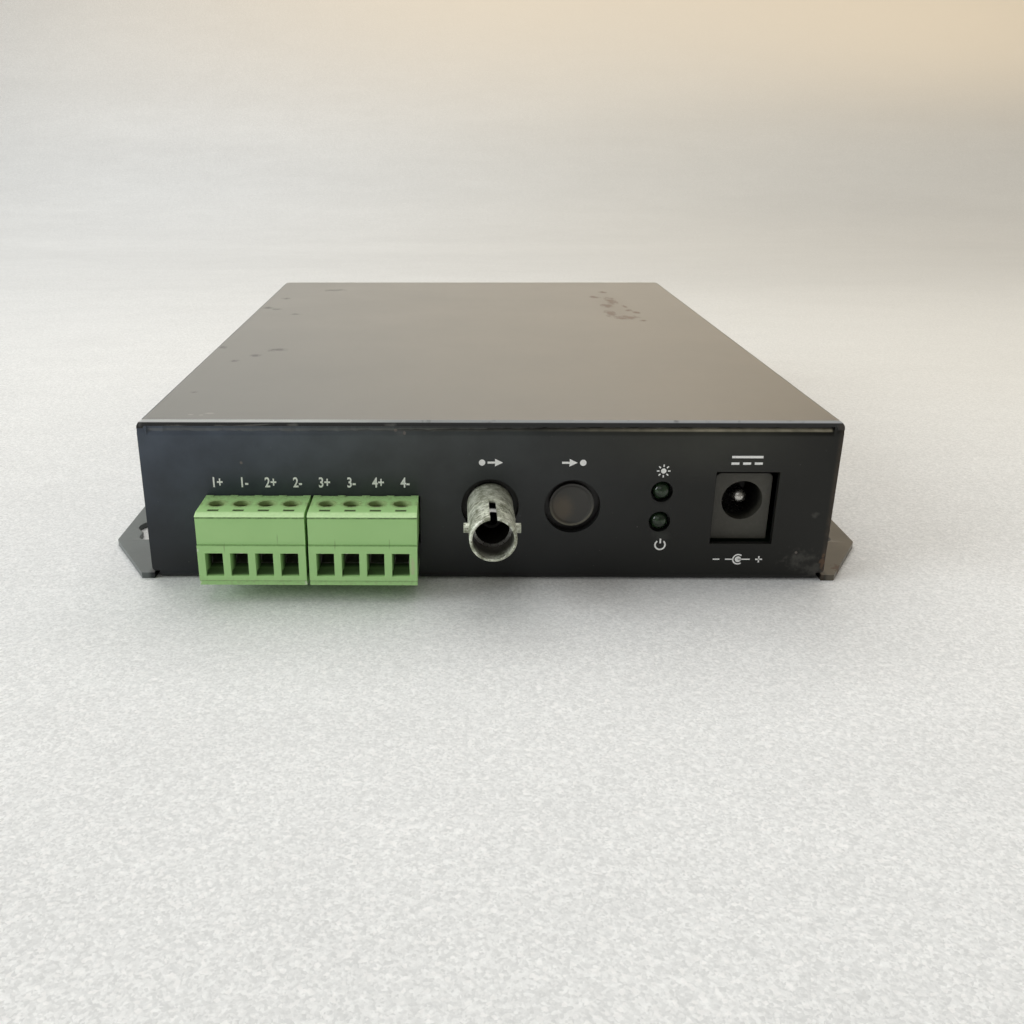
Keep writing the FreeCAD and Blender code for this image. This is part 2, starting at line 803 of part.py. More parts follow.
def light_detector():
    start = fiber_block_rear - detector_length
    end = fiber_block_rear + detector_flange
    profile = [(start, 0), (start, detector_r), (fiber_block_rear, detector_r),
               (fiber_block_rear, detector_flange_r), (end, detector_flange_r), (end, 0)]
    return turned(profile, fiber_x, fiber_z)


def port_blank():
    """Blanking plug behind the unused port hole: a dished disc inside a ring groove."""
    back = front + base_sheet
    disc = front + blank_disc_inset
    dish = disc + blank_dish
    groove = back + blank_groove
    inner = blank_disc_r - blank_disc_edge
    outer = blank_hole_r + blank_rim
    end = groove + blank_sheet
    profile = [(dish, 0), (dish, inner - blank_slope), (disc, inner), (disc, blank_disc_r),
               (groove, blank_disc_r), (groove, blank_hole_r), (back, blank_hole_r), (back, outer),
               (end, outer), (end, 0)]
    return turned(profile, fiber_x + port_pitch, fiber_z)


# Indicator lamps in their two-storey holder

def lamp(level):
    z = lamp_low_z + level * lamp_spacing
    tip = front - lamp_proud
    flange = tip + lamp_length
    profile = [(tip, 0), (tip, lamp_r), (flange, lamp_r), (flange, lamp_flange_r),
               (flange + lamp_flange, lamp_flange_r), (flange + lamp_flange, 0)]
    return turned(profile, lamp_x, z, [0, lamp_r, 0, 0, 0, 0])


def lamp_holder():
    half = holder_width / 2
    face = front + base_sheet + holder_gap
    end = face + holder_depth
    top = lamp_low_z + lamp_spacing + holder_cap
    holder = span(lamp_x - half, lamp_x + half, face, end, board_top, top)
    flange = front - lamp_proud + lamp_length
    cuts = []
    for level in (0, 1):
        z = lamp_low_z + level * lamp_spacing
        cuts.append(bore(lamp_x, face - 1, z, V(0, 1, 0), lamp_r + lamp_fit, flange - face + 1))
        cuts.append(bore(lamp_x, flange, z, V(0, 1, 0), lamp_flange_r + lamp_fit, end + 1 - flange))
    return holder.cut(cuts)


def lamp_leads():
    start = front - lamp_proud + lamp_length + lamp_flange
    solids = []
    for x, y, level in lamp_lead_points():
        z = lamp_low_z + level * lamp_spacing + lamp_lead / 2
        path = [(start, z), (y, z), (y, board_under - lead_tail)]
        side = across_x(x - lamp_lead / 2)
        solids.append(folded(path, lamp_lead, lamp_lead_bend, side, V(lamp_lead, 0, 0)))
    return solids


# Power jack

def power_jack():
    half = jack_width / 2
    top = board_top + jack_height
    waist = half - jack_waist
    shoulder = jack_face + jack_flange
    corners = [(jack_x - half, board_top), (jack_x + half, board_top),
               (jack_x + half, top), (jack_x - half, top)]
    radii = [0, 0, jack_corner_radius, jack_corner_radius]
    square = prism(corners, across_y(jack_face), V(0, jack_flange, 0), radii)
    low_half = span(jack_x - waist, jack_x + waist, shoulder, jack_rear, board_top, jack_axis)
    ahead = V(0, 1, 0)
    tunnel = low_half.fuse(bore(jack_x, shoulder, jack_axis, ahead, waist, jack_depth - jack_flange))
    cuts = [
        bore(jack_x, jack_face - 1, jack_axis, ahead, jack_hole_r, jack_hole_depth + 1),
        bore(jack_x, jack_face, jack_axis, ahead, jack_pin_r + jack_pin_fit, jack_depth + 1),
    ]
    half_s = spring_width / 2 + spring_fit
    under = jack_axis - jack_hole_r
    cuts.append(span(jack_x - half_s, jack_x + half_s, jack_face + jack_flange, jack_face + jack_hole_depth,
                     under - spring_sheet - spring_fit, jack_axis))
    return square.fuse(tunnel).cut(cuts).removeSplitter()


def power_jack_pin():
    tip = jack_face + jack_pin_inset
    end = jack_rear + jack_pin_tail
    profile = [(tip, 0), (tip, jack_pin_r), (end, jack_pin_r), (end, 0)]
    return turned(profile, jack_x, jack_axis, [0, jack_pin_r, 0, 0])


def power_jack_spring():
    """Flat contact along the floor of the jack's barrel."""
    top = jack_axis - jack_hole_r
    start = jack_face + jack_flange + spring_fit
    end = jack_face + jack_hole_depth - spring_fit
    half = spring_width / 2
    return span(jack_x - half, jack_x + half, start, end, top - spring_sheet, top)


# Video jacks with their insulators, contacts, washers and nuts

def video_jack(x):
    half = video_block_width / 2
    block_start = video_block_face - video_block_depth
    block = span(x - half, x + half, block_start, video_block_face, board_top,
                 board_top + video_block_height, video_block_radius)
    thread_end = rear + video_thread_reach
    rim = rear + video_reach
    root = video_block_face - 1
    profile = [(root, 0), (root, video_thread_r), (thread_end - video_chamfer, video_thread_r),
               (thread_end, video_thread_r - video_chamfer), (thread_end, video_barrel_r),
               (rim - video_chamfer, video_barrel_r), (rim, video_barrel_r - video_chamfer), (rim, 0)]
    barrel = turned(profile, x, video_z)
    lug_y = rim - video_lug_inset
    lugs = bore(x - video_lug_span / 2, lug_y, video_z, V(1, 0, 0), video_lug_r, video_lug_span)
    back = V(0, -1, 0)
    core_length = video_bore_depth + video_core_seat
    cuts = [
        bore(x, rim + 1, video_z, back, video_bore_r, video_bore_depth + 1),
        bore(x, rim, video_z, back, video_core_r + video_fit, core_length),
        bore(x, rim, video_z, back, video_contact_r + video_fit, rim - block_start + 1),
    ]
    return block.fuse([barrel, lugs]).cut(cuts).removeSplitter()


def video_insulator(x):
    start = rear + video_reach - video_bore_depth - video_core_seat
    end = rear + video_reach - video_core_inset
    return turned(tube_profile(start, end, video_contact_r + video_fit, video_core_r), x, video_z)


def video_contact(x):
    start = video_block_face - video_block_depth
    end = rear + video_reach - video_core_inset
    floor = end - video_contact_bore
    profile = [(start, 0), (start, video_contact_r), (end, video_contact_r), (end, video_contact_bore_r),
               (floor, video_contact_bore_r), (floor, 0)]
    return turned(profile, x, video_z)


def video_washer(x):
    return turned(tube_profile(rear, rear + washer_thickness, video_thread_r + nut_fit, washer_r), x, video_z)


def video_nut(x):
    start = rear + washer_thickness
    nut = prism(hexagon(x, video_z, nut_across), across_y(start), V(0, nut_thickness, 0))
    return nut.cut(bore(x, start - 1, video_z, V(0, 1, 0), video_thread_r + nut_fit, nut_thickness + 2))


# Parts soldered to the board

def main_chip():
    half = chip_size / 2
    return span(-half, half, -half, half, board_top, board_top + chip_thickness, chip_radius)


def codec_chips():
    y1 = video_block_face - video_block_depth - codec_row_gap
    return [span(x - codec_width / 2, x + codec_width / 2, y1 - codec_length, y1, board_top,
                 board_top + codec_thickness) for x in video_centres()]


def capacitor(x, y):
    top = board_top + capacitor_height
    profile = [(0, board_top), (capacitor_r, board_top), (capacitor_r, top - capacitor_chamfer),
               (capacitor_r - capacitor_chamfer, top), (0, top)]
    return turned_up(profile, x, y)


def supply_capacitors():
    y = jack_rear + jack_pin_tail + supply_gap
    return [capacitor(jack_x - i * capacitor_spacing, y) for i in range(2)]


def supply_coil():
    half = coil_size / 2
    x = jack_x - 2 * capacitor_spacing
    y = jack_rear + jack_pin_tail + supply_gap
    return span(x - half, x + half, y - half, y + half, board_top, board_top + coil_height, coil_radius)


def nodes():
    yield "base_chassis", [base_chassis()]
    yield "top_cover", [top_cover()]
    yield "cover_screws", cover_screws()
    yield "circuit_board", [circuit_board()]
    yield "board_standoffs", board_standoffs()
    yield "board_screws", board_screws()
    number = 1
    for hand, centre in zip(("left", "right"), terminal_centres()):
        yield hand + "_header", [terminal_header(centre)]
        yield hand + "_header_pins", header_pins(centre)
        yield hand + "_plug", [terminal_plug(centre)]
        yield hand + "_plug_contacts", plug_contacts(centre)
        for x in way_centres(centre):
            yield "clamp_screw_%d" % number, [clamp_screw(x)]
            yield "clamp_cage_%d" % number, [clamp_cage(x)]
            number += 1
    yield "fiber_port", [fiber_port()]
    yield "fiber_sleeve", [fiber_sleeve()]
    yield "fiber_ring", [fiber_ring()]
    yield "light_detector", [light_detector()]
    yield "port_blank", [port_blank()]
    yield "lower_lamp", [lamp(0)]
    yield "upper_lamp", [lamp(1)]
    yield "lamp_holder", [lamp_holder()]
    yield "lamp_leads", lamp_leads()
    yield "power_jack", [power_jack()]
    yield "power_jack_pin", [power_jack_pin()]
    yield "power_jack_spring", [power_jack_spring()]
    for i, x in enumerate(video_centres(), start=1):
        yield "video_jack_%d" % i, [video_jack(x)]
        yield "video_insulator_%d" % i, [video_insulator(x)]
    yield "video_contacts", [video_contact(x) for x in video_centres()]
    yield "video_washers", [video_washer(x) for x in video_centres()]
    yield "video_nuts", [video_nut(x) for x in video_centres()]
    yield "main_chip", [main_chip()]
    yield "codec_chips", codec_chips()
    yield "supply_capacitors", supply_capacitors()
    yield "supply_coil", [supply_coil()]


os.makedirs("parts", exist_ok=True)
for name, solids in nodes():
    shape = solids[0] if len(solids) == 1 else Part.makeCompound(solids)
    shape.exportStep("parts/" + name + ".step")
    print(name, len(shape.Solids), shape.isValid(), round(shape.Volume, 2))
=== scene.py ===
import bmesh
import bpy
import json
import math
from mathutils import Matrix, Vector


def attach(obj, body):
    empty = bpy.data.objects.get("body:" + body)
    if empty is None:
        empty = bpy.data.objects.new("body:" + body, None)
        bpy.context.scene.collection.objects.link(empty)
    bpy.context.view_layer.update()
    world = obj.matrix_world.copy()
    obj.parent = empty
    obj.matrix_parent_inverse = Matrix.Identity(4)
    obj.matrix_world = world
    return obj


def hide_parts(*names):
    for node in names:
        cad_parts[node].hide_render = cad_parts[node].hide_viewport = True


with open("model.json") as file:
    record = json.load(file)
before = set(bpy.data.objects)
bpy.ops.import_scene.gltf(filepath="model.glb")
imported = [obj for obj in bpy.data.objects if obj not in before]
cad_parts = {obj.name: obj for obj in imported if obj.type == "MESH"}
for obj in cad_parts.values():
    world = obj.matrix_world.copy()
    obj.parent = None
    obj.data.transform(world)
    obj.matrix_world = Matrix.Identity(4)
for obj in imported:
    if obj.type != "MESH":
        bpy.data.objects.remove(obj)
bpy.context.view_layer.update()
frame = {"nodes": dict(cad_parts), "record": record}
nodes = frame["nodes"]
bodies = frame["record"]["behaviour"]["bodies"]
body_by_node = {node: body for body, names in bodies.items() for node in names}
scene = bpy.context.scene
scene.view_settings.view_transform = "Standard"

# Places on the box, in millimetres
FRONT = -73.0              # front panel's face
REAR = 73.0
TOP = 26.6
COVER_SHEET = 1.0
PANEL_TOP = 25.4
FOLD_R = 1.4               # outer radius of the base's folds
PLUG_FACE = -81.8
CLAMP_Y = -77.0            # line of the clamp screws
PLUG_TOP = 14.45
PITCH = 3.81               # between a plug's ways
BLOCKS = (-35.87, -19.02)  # middles of the two plugs
FIBER = (0.37, 12.6)       # x and z of the fibre port's axis
BLANK_X = FIBER[0] + 12.9
LAMP_X = 27.1
MM = 0.001


def mm(*values):
    return tuple(v * MM for v in values)


# Material graphs

class Graph:
    """A principled material whose textures are placed and sized in millimetres of the object's frame."""

    def __init__(self, name, **constants):
        self.material = bpy.data.materials.new(name)
        self.material.use_nodes = True
        self.tree = self.material.node_tree
        self.tree.nodes.clear()
        self.shader = self.put("BsdfPrincipled")
        output = self.put("OutputMaterial")
        self.tree.links.new(self.shader.outputs[0], output.inputs[0])
        metres = self.put("TexCoord").outputs["Object"]
        self.place = self.put("VectorMath", {0: metres, "Scale": 1 / MM}, operation="SCALE").outputs[0]
        self.x, self.y, self.z = self.put("SeparateXYZ", {0: self.place}).outputs
        for key, value in constants.items():
            self.set(key.replace("_", " ").title().replace("Ior", "IOR"), value)

    def put(self, kind, inputs=None, **settings):
        node = self.tree.nodes.new("ShaderNode" + kind)
        for key, value in settings.items():
            setattr(node, key, value)
        for key, value in (inputs or {}).items():
            self.feed(node.inputs[key], value)
        return node

    def feed(self, socket, value):
        if isinstance(value, bpy.types.NodeSocket):
            self.tree.links.new(value, socket)
        elif socket.type == "RGBA":
            socket.default_value = (*value[:3], 1.0)
        else:
            socket.default_value = value

    def set(self, name, value):
        self.feed(self.shader.inputs[name], value)

    def calc(self, operation, a, b=0.0, clamp=False):
        return self.put("Math", {0: a, 1: b}, operation=operation, use_clamp=clamp).outputs[0]

    def most(self, *values):
        total = values[0]
        for value in values[1:]:
            total = self.calc("MAXIMUM", total, value)
        return total

    def times(self, *values):
        total = values[0]
        for value in values[1:]:
            total = self.calc("MULTIPLY", total, value)
        return total

    def noise(self, size, detail=3.0, stretch=(1, 1, 1), roughness=0.55):
        scale = tuple(1.0 / size / s for s in stretch)
        scaled = self.put("Mapping", {"Vector": self.place, "Scale": scale})
        inputs = {"Vector": scaled.outputs[0], "Scale": 1.0, "Detail": detail, "Roughness": roughness}
        return self.put("TexNoise", inputs).outputs[0]

    def cells(self, size):
        """A random number for each cell of about this size."""
        scaled = self.put("Mapping", {"Vector": self.place, "Scale": (1.0 / size,) * 3})
        voronoi = self.put("TexVoronoi", {"Vector": scaled.outputs[0], "Scale": 1.0})
        return self.put("SeparateColor", {0: voronoi.outputs["Color"]}).outputs[0]

    def step(self, value, low, high):
        inputs = {"Value": value, "From Min": low, "From Max": high}
        return self.put("MapRange", inputs, interpolation_type="SMOOTHSTEP").outputs[0]

    def span(self, value, low, high, result_low, result_high):
        inputs = {"Value": value, "From Min": low, "From Max": high}
        inputs.update({"To Min": result_low, "To Max": result_high})
        return self.put("MapRange", inputs).outputs[0]

    def near(self, value, middle, outer, inner):
        """1 within inner of a middle value, falling to 0 at outer."""
        return self.step(self.calc("ABSOLUTE", self.calc("SUBTRACT", value, middle)), outer, inner)

    def mix(self, factor, a, b):
        node = self.put("Mix", data_type="RGBA")
        self.feed(node.inputs[0], factor)
        self.feed(node.inputs[6], a)
        self.feed(node.inputs[7], b)
        return node.outputs[2]

    def patch(self, centre, half, turn=(0, 0, 0)):
        """1 at the centre of an ellipsoid, falling to 0 at its surface."""
        inputs = {"Vector": self.place, "Location": centre, "Rotation": turn, "Scale": half}
        local = self.put("Mapping", inputs, vector_type="TEXTURE").outputs[0]
        length = self.put("VectorMath", {0: local}, operation="LENGTH").outputs["Value"]
        return self.calc("SUBTRACT", 1.0, length, clamp=True)

    def broken(self, patches, share, noise, rest, low, high):
        """Patches whose outlines are torn by a noise: their sum, by these shares, rises from low to high."""
        field = self.calc("ADD", self.times(self.most(*patches), share), self.times(noise, rest))
        return self.step(field, low, high)

    def bump(self, height, distance, strength=1.0):
        inputs = {"Height": height, "Strength": strength, "Distance": distance * MM}
        self.set("Normal", self.put("Bump", inputs).outputs[0])


def plain_finish(name, colour, spread, grain, bump, low, high, metallic=0.0, stretch=(1, 1, 1)):
    """Colour varied by a broad noise, bump and the roughness from low to high by a fine one."""
    g = Graph(name, metallic=metallic)
    broad = g.noise(grain * 9, 4)
    fine = g.noise(grain, 3, stretch)
    dark = tuple(c * (1 - spread) for c in colour)
    pale = tuple(min(1.0, c * (1 + spread)) for c in colour)
    g.set("Base Color", g.mix(g.step(g.calc("ADD", broad, g.times(fine, 0.4)), 0.45, 0.95), dark, pale))
    g.set("Roughness", g.span(fine, 0.3, 0.7, low, high))
    g.bump(fine, bump)
    return g.material


PAINT_DARK = (0.0085, 0.0088, 0.0092)
PAINT_PALE = (0.0145, 0.0148, 0.015)


def marks_on_top(g, places, turn=0.0):
    """Patches on the cover's top; each place is x, the distance behind the front, and two half sizes."""
    depth = 3.0
    return [g.patch((x, FRONT + y, TOP), (half_x, half_y, depth), (0, 0, turn))
            for x, y, half_x, half_y in places]


def cover_paint():
    """Semi-gloss paint of the cover's top."""
    g = Graph("cover_paint", coat_ior=1.65, coat_roughness=0.33, specular_ior_level=0.7)
    g.set("Coat Tint", (1.0, 0.97, 0.92))
    broad = g.noise(26, 4)
    fine = g.noise(0.32, 2)
    ragged = g.noise(2.4, 5)
    small = g.noise(0.7, 3)
    torn = g.noise(1.5, 5, (1.2, 2.6, 1), 0.7)
    colour = g.mix(broad, PAINT_DARK, PAINT_PALE)

    # Brown rest of an adhesive: blotches and short dashes in a faint stain
    glue = marks_on_top(g, [
        (35.2, 113.5, 1.9, 9.0), (33.4, 105.5, 2.4, 4.0), (35.9, 89.0, 3.4, 3.4), (32.3, 93.5, 1.9, 7.0),
        (35.1, 127.5, 1.5, 3.0), (31.9, 119.0, 1.9, 3.2), (37.3, 104.0, 0.9, 4.0), (38.6, 95.3, 1.3, 2.2),
        (38.4, 84.6, 1.2, 2.2), (37.4, 99.0, 1.2, 3.0), (34.2, 87.6, 2.6, 2.0)])
    glued = g.times(g.broken(glue, 0.6, torn, 1.5, 0.76, 1.25), g.step(g.most(*glue), 0.0, 0.25))
    stained = g.broken(marks_on_top(g, [(34.8, 104.0, 6.5, 30.0)]), 0.9, ragged, 0.4, 0.3, 0.95)
    colour = g.mix(g.times(stained, 0.5), colour, (0.04, 0.026, 0.015))
    residue = g.mix(small, (0.08, 0.049, 0.03), (0.18, 0.111, 0.067))
    colour = g.mix(g.times(glued, 0.95), colour, residue)

    # Scuffs where the gloss has partly gone, and pale nicks near the front edge
    scuffs = marks_on_top(g, [
        (-37.7, 131.1, 5.2, 3.6), (-49.0, 116.5, 2.0, 3.2), (-51.2, 102.0, 2.2, 2.6),
        (-48.6, 100.0, 2.2, 2.2), (-43.0, 93.0, 2.4, 2.0), (-40.8, 51.6, 3.6, 2.6), (-44.0, 46.2, 2.0, 2.0),
        (-47.2, 41.3, 1.4, 1.8), (-52.4, 54.0, 1.6, 2.6), (-49.0, 17.1, 1.2, 0.9)], 0.1)
    scuffed = g.times(g.broken(scuffs, 0.7, torn, 1.4, 0.86, 1.5), g.step(g.most(*scuffs), 0.0, 0.3))
    colour = g.mix(g.times(scuffed, 0.7), colour, (0.05, 0.047, 0.042))
    nicks = marks_on_top(g, [(-46.2, 2.9, 0.9, 0.6), (-44.5, 2.6, 0.9, 0.6), (-43.4, 3.6, 1.6, 0.8)])
    nicked = g.broken(nicks, 0.8, small, 0.6, 0.55, 1.0)
    colour = g.mix(g.times(nicked, 0.5), colour, (0.4, 0.4, 0.39))
    g.set("Base Color", colour)

    dull = g.most(g.times(glued, 0.72), g.times(stained, 0.2), g.times(scuffed, 0.42))
    g.set("Coat Weight", g.calc("SUBTRACT", 1.0, dull, clamp=True))
    worn = g.most(glued, scuffed)
    g.set("Roughness", g.calc("ADD", g.span(broad, 0.3, 0.7, 0.30, 0.36), g.times(worn, 0.3), clamp=True))
    g.bump(g.calc("ADD", g.times(fine, 0.35), g.times(worn, small)), 0.02, 0.6)
    return g.material


def marks_on_front(g, places, depth=2.0):
    """Patches on the front face; each place is x, z and two half sizes."""
    return [g.patch((x, FRONT, z), (half_x, depth, half_z)) for x, z, half_x, half_z in places]


def edge_paint():
    """The cover's walls and cut edges, with a painted highlight along the upper front corner."""
    g = Graph("edge_paint", specular_ior_level=0.4)
    broad = g.noise(26, 4)
    fine = g.noise(0.32, 2)
    ragged = g.noise(2.4, 5)
    small = g.noise(0.7, 3)
    colour = g.mix(broad, PAINT_DARK, PAINT_PALE)
    # A painted highlight along the upper front corner, broken by a noise
    rim = g.times(g.step(g.y, FRONT + 0.6, FRONT + 0.4), g.step(g.z, TOP - 0.5, TOP - 0.3))
    highlight_breaks = g.calc("ADD", ragged, g.span(g.x, -34, -14, 0.24, 0.16))
    line = g.times(rim, g.step(highlight_breaks, 0.3, 0.58))
    cut = g.step(g.y, FRONT + 0.45, FRONT + 0.1)
    smudge = marks_on_front(g, [(-47.6, 25.5, 4.6, 0.6), (-41.0, 25.6, 2.6, 0.5), (-30.0, 25.8, 2.0, 0.6),
                                (-15.0, 25.8, 2.4, 0.6)])
    smudged = g.times(g.broken(smudge, 0.7, g.noise(1.3, 5), 0.7, 0.62, 1.0), cut)
    scratch = g.times(g.patch((-37.2, FRONT, 25.66), (5.6, 2, 0.2), (0, -0.07, 0)), cut)
    corner = g.patch((-53.4, FRONT + 0.5, TOP - 0.7), (1.3, 3.0, 1.5))
    corner = g.broken([corner], 0.6, small, 0.6, 0.62, 0.85)
    marred = g.most(smudged, g.step(scratch, 0.05, 0.5), g.times(corner, 0.8))
    colour = g.mix(g.times(marred, 0.7), colour, g.mix(small, (0.075, 0.073, 0.07), (0.17, 0.165, 0.155)))
    rubbed = g.times(g.step(g.x, 52.6, 53.6), cut, g.span(ragged, 0.35, 0.65, 0.4, 1.0))
    colour = g.mix(g.times(rubbed, 0.5), colour, (0.085, 0.062, 0.042))
    # Colour of the painted highlight, brighter on the left
    highlight_colour = g.mix(g.step(g.x, -30, -10), (0.95, 0.95, 0.94), (0.55, 0.56, 0.57))
    colour = g.mix(g.times(line, 0.9), colour, highlight_colour)
    g.set("Base Color", colour)
    # Roughness is raised on the marks and on the painted highlight line
    worn = g.most(marred, line)
    g.set("Roughness", g.calc("ADD", g.span(broad, 0.3, 0.7, 0.30, 0.36), g.times(worn, 0.2), clamp=True))
    g.bump(g.calc("ADD", g.times(fine, 0.35), g.times(worn, small)), 0.02, 0.6)
    return g.material


def panel_paint():
    """Satin paint of the base, with what years of handling left on its front panel and ears, and painted
    reflections and shade on them.
    """
    g = Graph("panel_paint", specular_ior_level=0.33)
    broad = g.noise(22, 4)
    fine = g.noise(0.32, 2)
    ragged = g.noise(1.9, 5)
    small = g.noise(0.55, 3)
    on_face = g.step(g.y, FRONT + 0.9, FRONT + 0.3)
    colour = g.mix(broad, PAINT_DARK, tuple(c * 0.8 for c in PAINT_PALE))

    # A painted reflection, pale and mottled, brighter towards the upper left and cooler on the left
    mottle = g.span(g.noise(6, 5), 0.32, 0.68, 0.72, 1.08)
    painted_reflection = g.times(g.span(g.x, 40, -30, 0.0, 1.0), g.span(g.z, 3, 24, 0.12, 1.0), on_face)
    reflection_tint = g.mix(g.step(g.x, -48, -5), (0.074, 0.091, 0.12), (0.076, 0.086, 0.087))
    colour = g.mix(g.times(painted_reflection, mottle), colour, reflection_tint)
    # Painted shade over the right of the face, and a painted lighter patch high on the right
    right = g.times(g.step(g.x, 0, 40), on_face)
    colour = g.mix(g.times(right, 0.75), colour, (0.006, 0.006, 0.0035))
    high = g.times(right, g.step(g.z, 15, 23), g.step(g.x, 54, 36))
    colour = g.mix(g.times(high, mottle), colour, (0.036, 0.037, 0.03))

    # Dirt low on the right, a rubbed spot below the lower lamp, specks and nicks
    dirt = marks_on_front(g, [(50.0, 3.6, 4.6, 3.4), (52.4, 2.0, 3.0, 3.0)], 3.0)
    dirt.append(g.patch((51.4, FRONT, 11.3), (0.9, 3.0, 1.1), (0, 0.5, 0)))
    dirty = g.times(g.broken(dirt, 0.45, g.noise(0.9, 5), 0.95, 0.62, 1.0), on_face)
    spot = marks_on_front(g, [(LAMP_X + 0.6, 7.8, 3.0, 1.7)], 3.0)
    spot = g.times(g.broken(spot, 0.6, ragged, 0.6, 0.5, 0.85), on_face)
    specks = g.times(g.step(g.noise(0.45, 1), 0.79, 0.83), on_face)
    nicks = marks_on_front(g, [(-38.3, 19.7, 0.45, 0.45), (-14.3, 24.9, 0.5, 0.4), (-12.9, 24.5, 0.4, 0.5),
                               (49.2, 4.9, 0.4, 0.4)])
    nicked = g.broken(nicks, 0.8, small, 0.5, 0.5, 0.8)

    # A painted highlight along the base's top fold under the cover's edge, clearer to the right
    level = g.times(g.step(g.z, 24.66, 24.9), g.step(g.z, 25.3, 25.1), g.step(g.y, FRONT + 1.2, FRONT + 0.6))
    length = g.step(g.calc("ABSOLUTE", g.x), 52.5, 52.0)
    fold_highlight = g.times(level, length, g.span(g.x, 8, 32, 0.12, 0.95), g.span(ragged, 0.35, 0.65, 0.6, 1.0))
    colour = g.mix(g.times(fold_highlight, 0.85), colour, (0.52, 0.475, 0.35))
    colour = g.mix(g.times(dirty, 0.4), colour, (0.13, 0.125, 0.112))
    colour = g.mix(g.times(spot, 0.4), colour, (0.06, 0.065, 0.058))
    colour = g.mix(g.times(specks, 0.3), colour, (0.2, 0.2, 0.19))
    colour = g.mix(g.times(nicked, 0.7), colour, (0.2, 0.17, 0.15))
    smudge = marks_on_front(g, [(-47.0, 25.2, 4.0, 0.5), (-30.5, 24.9, 2.6, 0.9), (-13.5, 24.6, 1.8, 1.2)])
    smudged = g.broken(smudge, 0.7, g.noise(1.3, 5), 0.7, 0.66, 1.0)
    colour = g.mix(g.times(smudged, 0.4), colour, (0.11, 0.112, 0.11))
    rubbed = g.times(g.step(g.x, 53.1, 53.9), g.step(g.x, 54.4, 54.1), on_face,
                     g.span(ragged, 0.35, 0.65, 0.3, 1.0))
    colour = g.mix(g.times(rubbed, 0.6), colour, (0.085, 0.06, 0.04))

    # The ears carry a painted grey sheen, cooler on the left and warmer on the right, with rust at the right
    # front corner
    outside = g.step(g.calc("ABSOLUTE", g.x), 54.0, 55.0)
    cloudy = g.calc("ADD", g.noise(9, 4), g.times(small, 0.15))
    ear_sheen = g.times(g.span(cloudy, 0.35, 0.8, 0.8, 1.1), outside)
    ear_sheen_tint = g.mix(g.step(g.x, -10, 10), (0.185, 0.205, 0.2), (0.17, 0.148, 0.113))
    colour = g.mix(g.times(ear_sheen, 0.75), colour, ear_sheen_tint)
    rust = [g.patch((57.4, FRONT + 2.6, 0.8), (2.6, 3.6, 2.4)), g.patch((53.6, FRONT, 3.2), (1.0, 2.0, 3.4))]
    rusted = g.broken(rust, 0.6, small, 0.6, 0.6, 0.8)
    colour = g.mix(g.times(rusted, 0.75), colour, (0.13, 0.075, 0.045))
    g.set("Base Color", colour)
    # Roughness is raised on the wear, dirt and rust, and on the painted fold highlight
    worn = g.most(fold_highlight, dirty, g.times(spot, 0.6), rusted)
    g.set("Roughness", g.calc("ADD", g.span(broad, 0.3, 0.7, 0.28, 0.36), g.times(worn, 0.3), clamp=True))
    g.bump(g.calc("ADD", g.times(fine, 0.35), g.times(worn, small)), 0.02, 0.6)
    return g.material


# Torn pale edges on the plugs' faces, as x, z and half sizes, and faint upright cracks, as x and z
TEARS = [(-37.4, 8.2, (0.9, 0.5, 0.22)), (-29.6, 8.15, (1.0, 0.5, 0.24)), (-21.3, 8.15, (0.9, 0.5, 0.2)),
         (-17.6, 8.1, (0.9, 0.5, 0.2)), (-44.0, 8.7, (0.35, 0.8, 0.5)), (-44.1, 3.4, (0.6, 1.2, 0.7)),
         (-27.8, 3.3, (0.5, 1.2, 0.6))]
CRACKS = [(-31.85, 10.4), (-39.9, 9.1), (-23.2, 9.6), (-15.0, 9.7)]


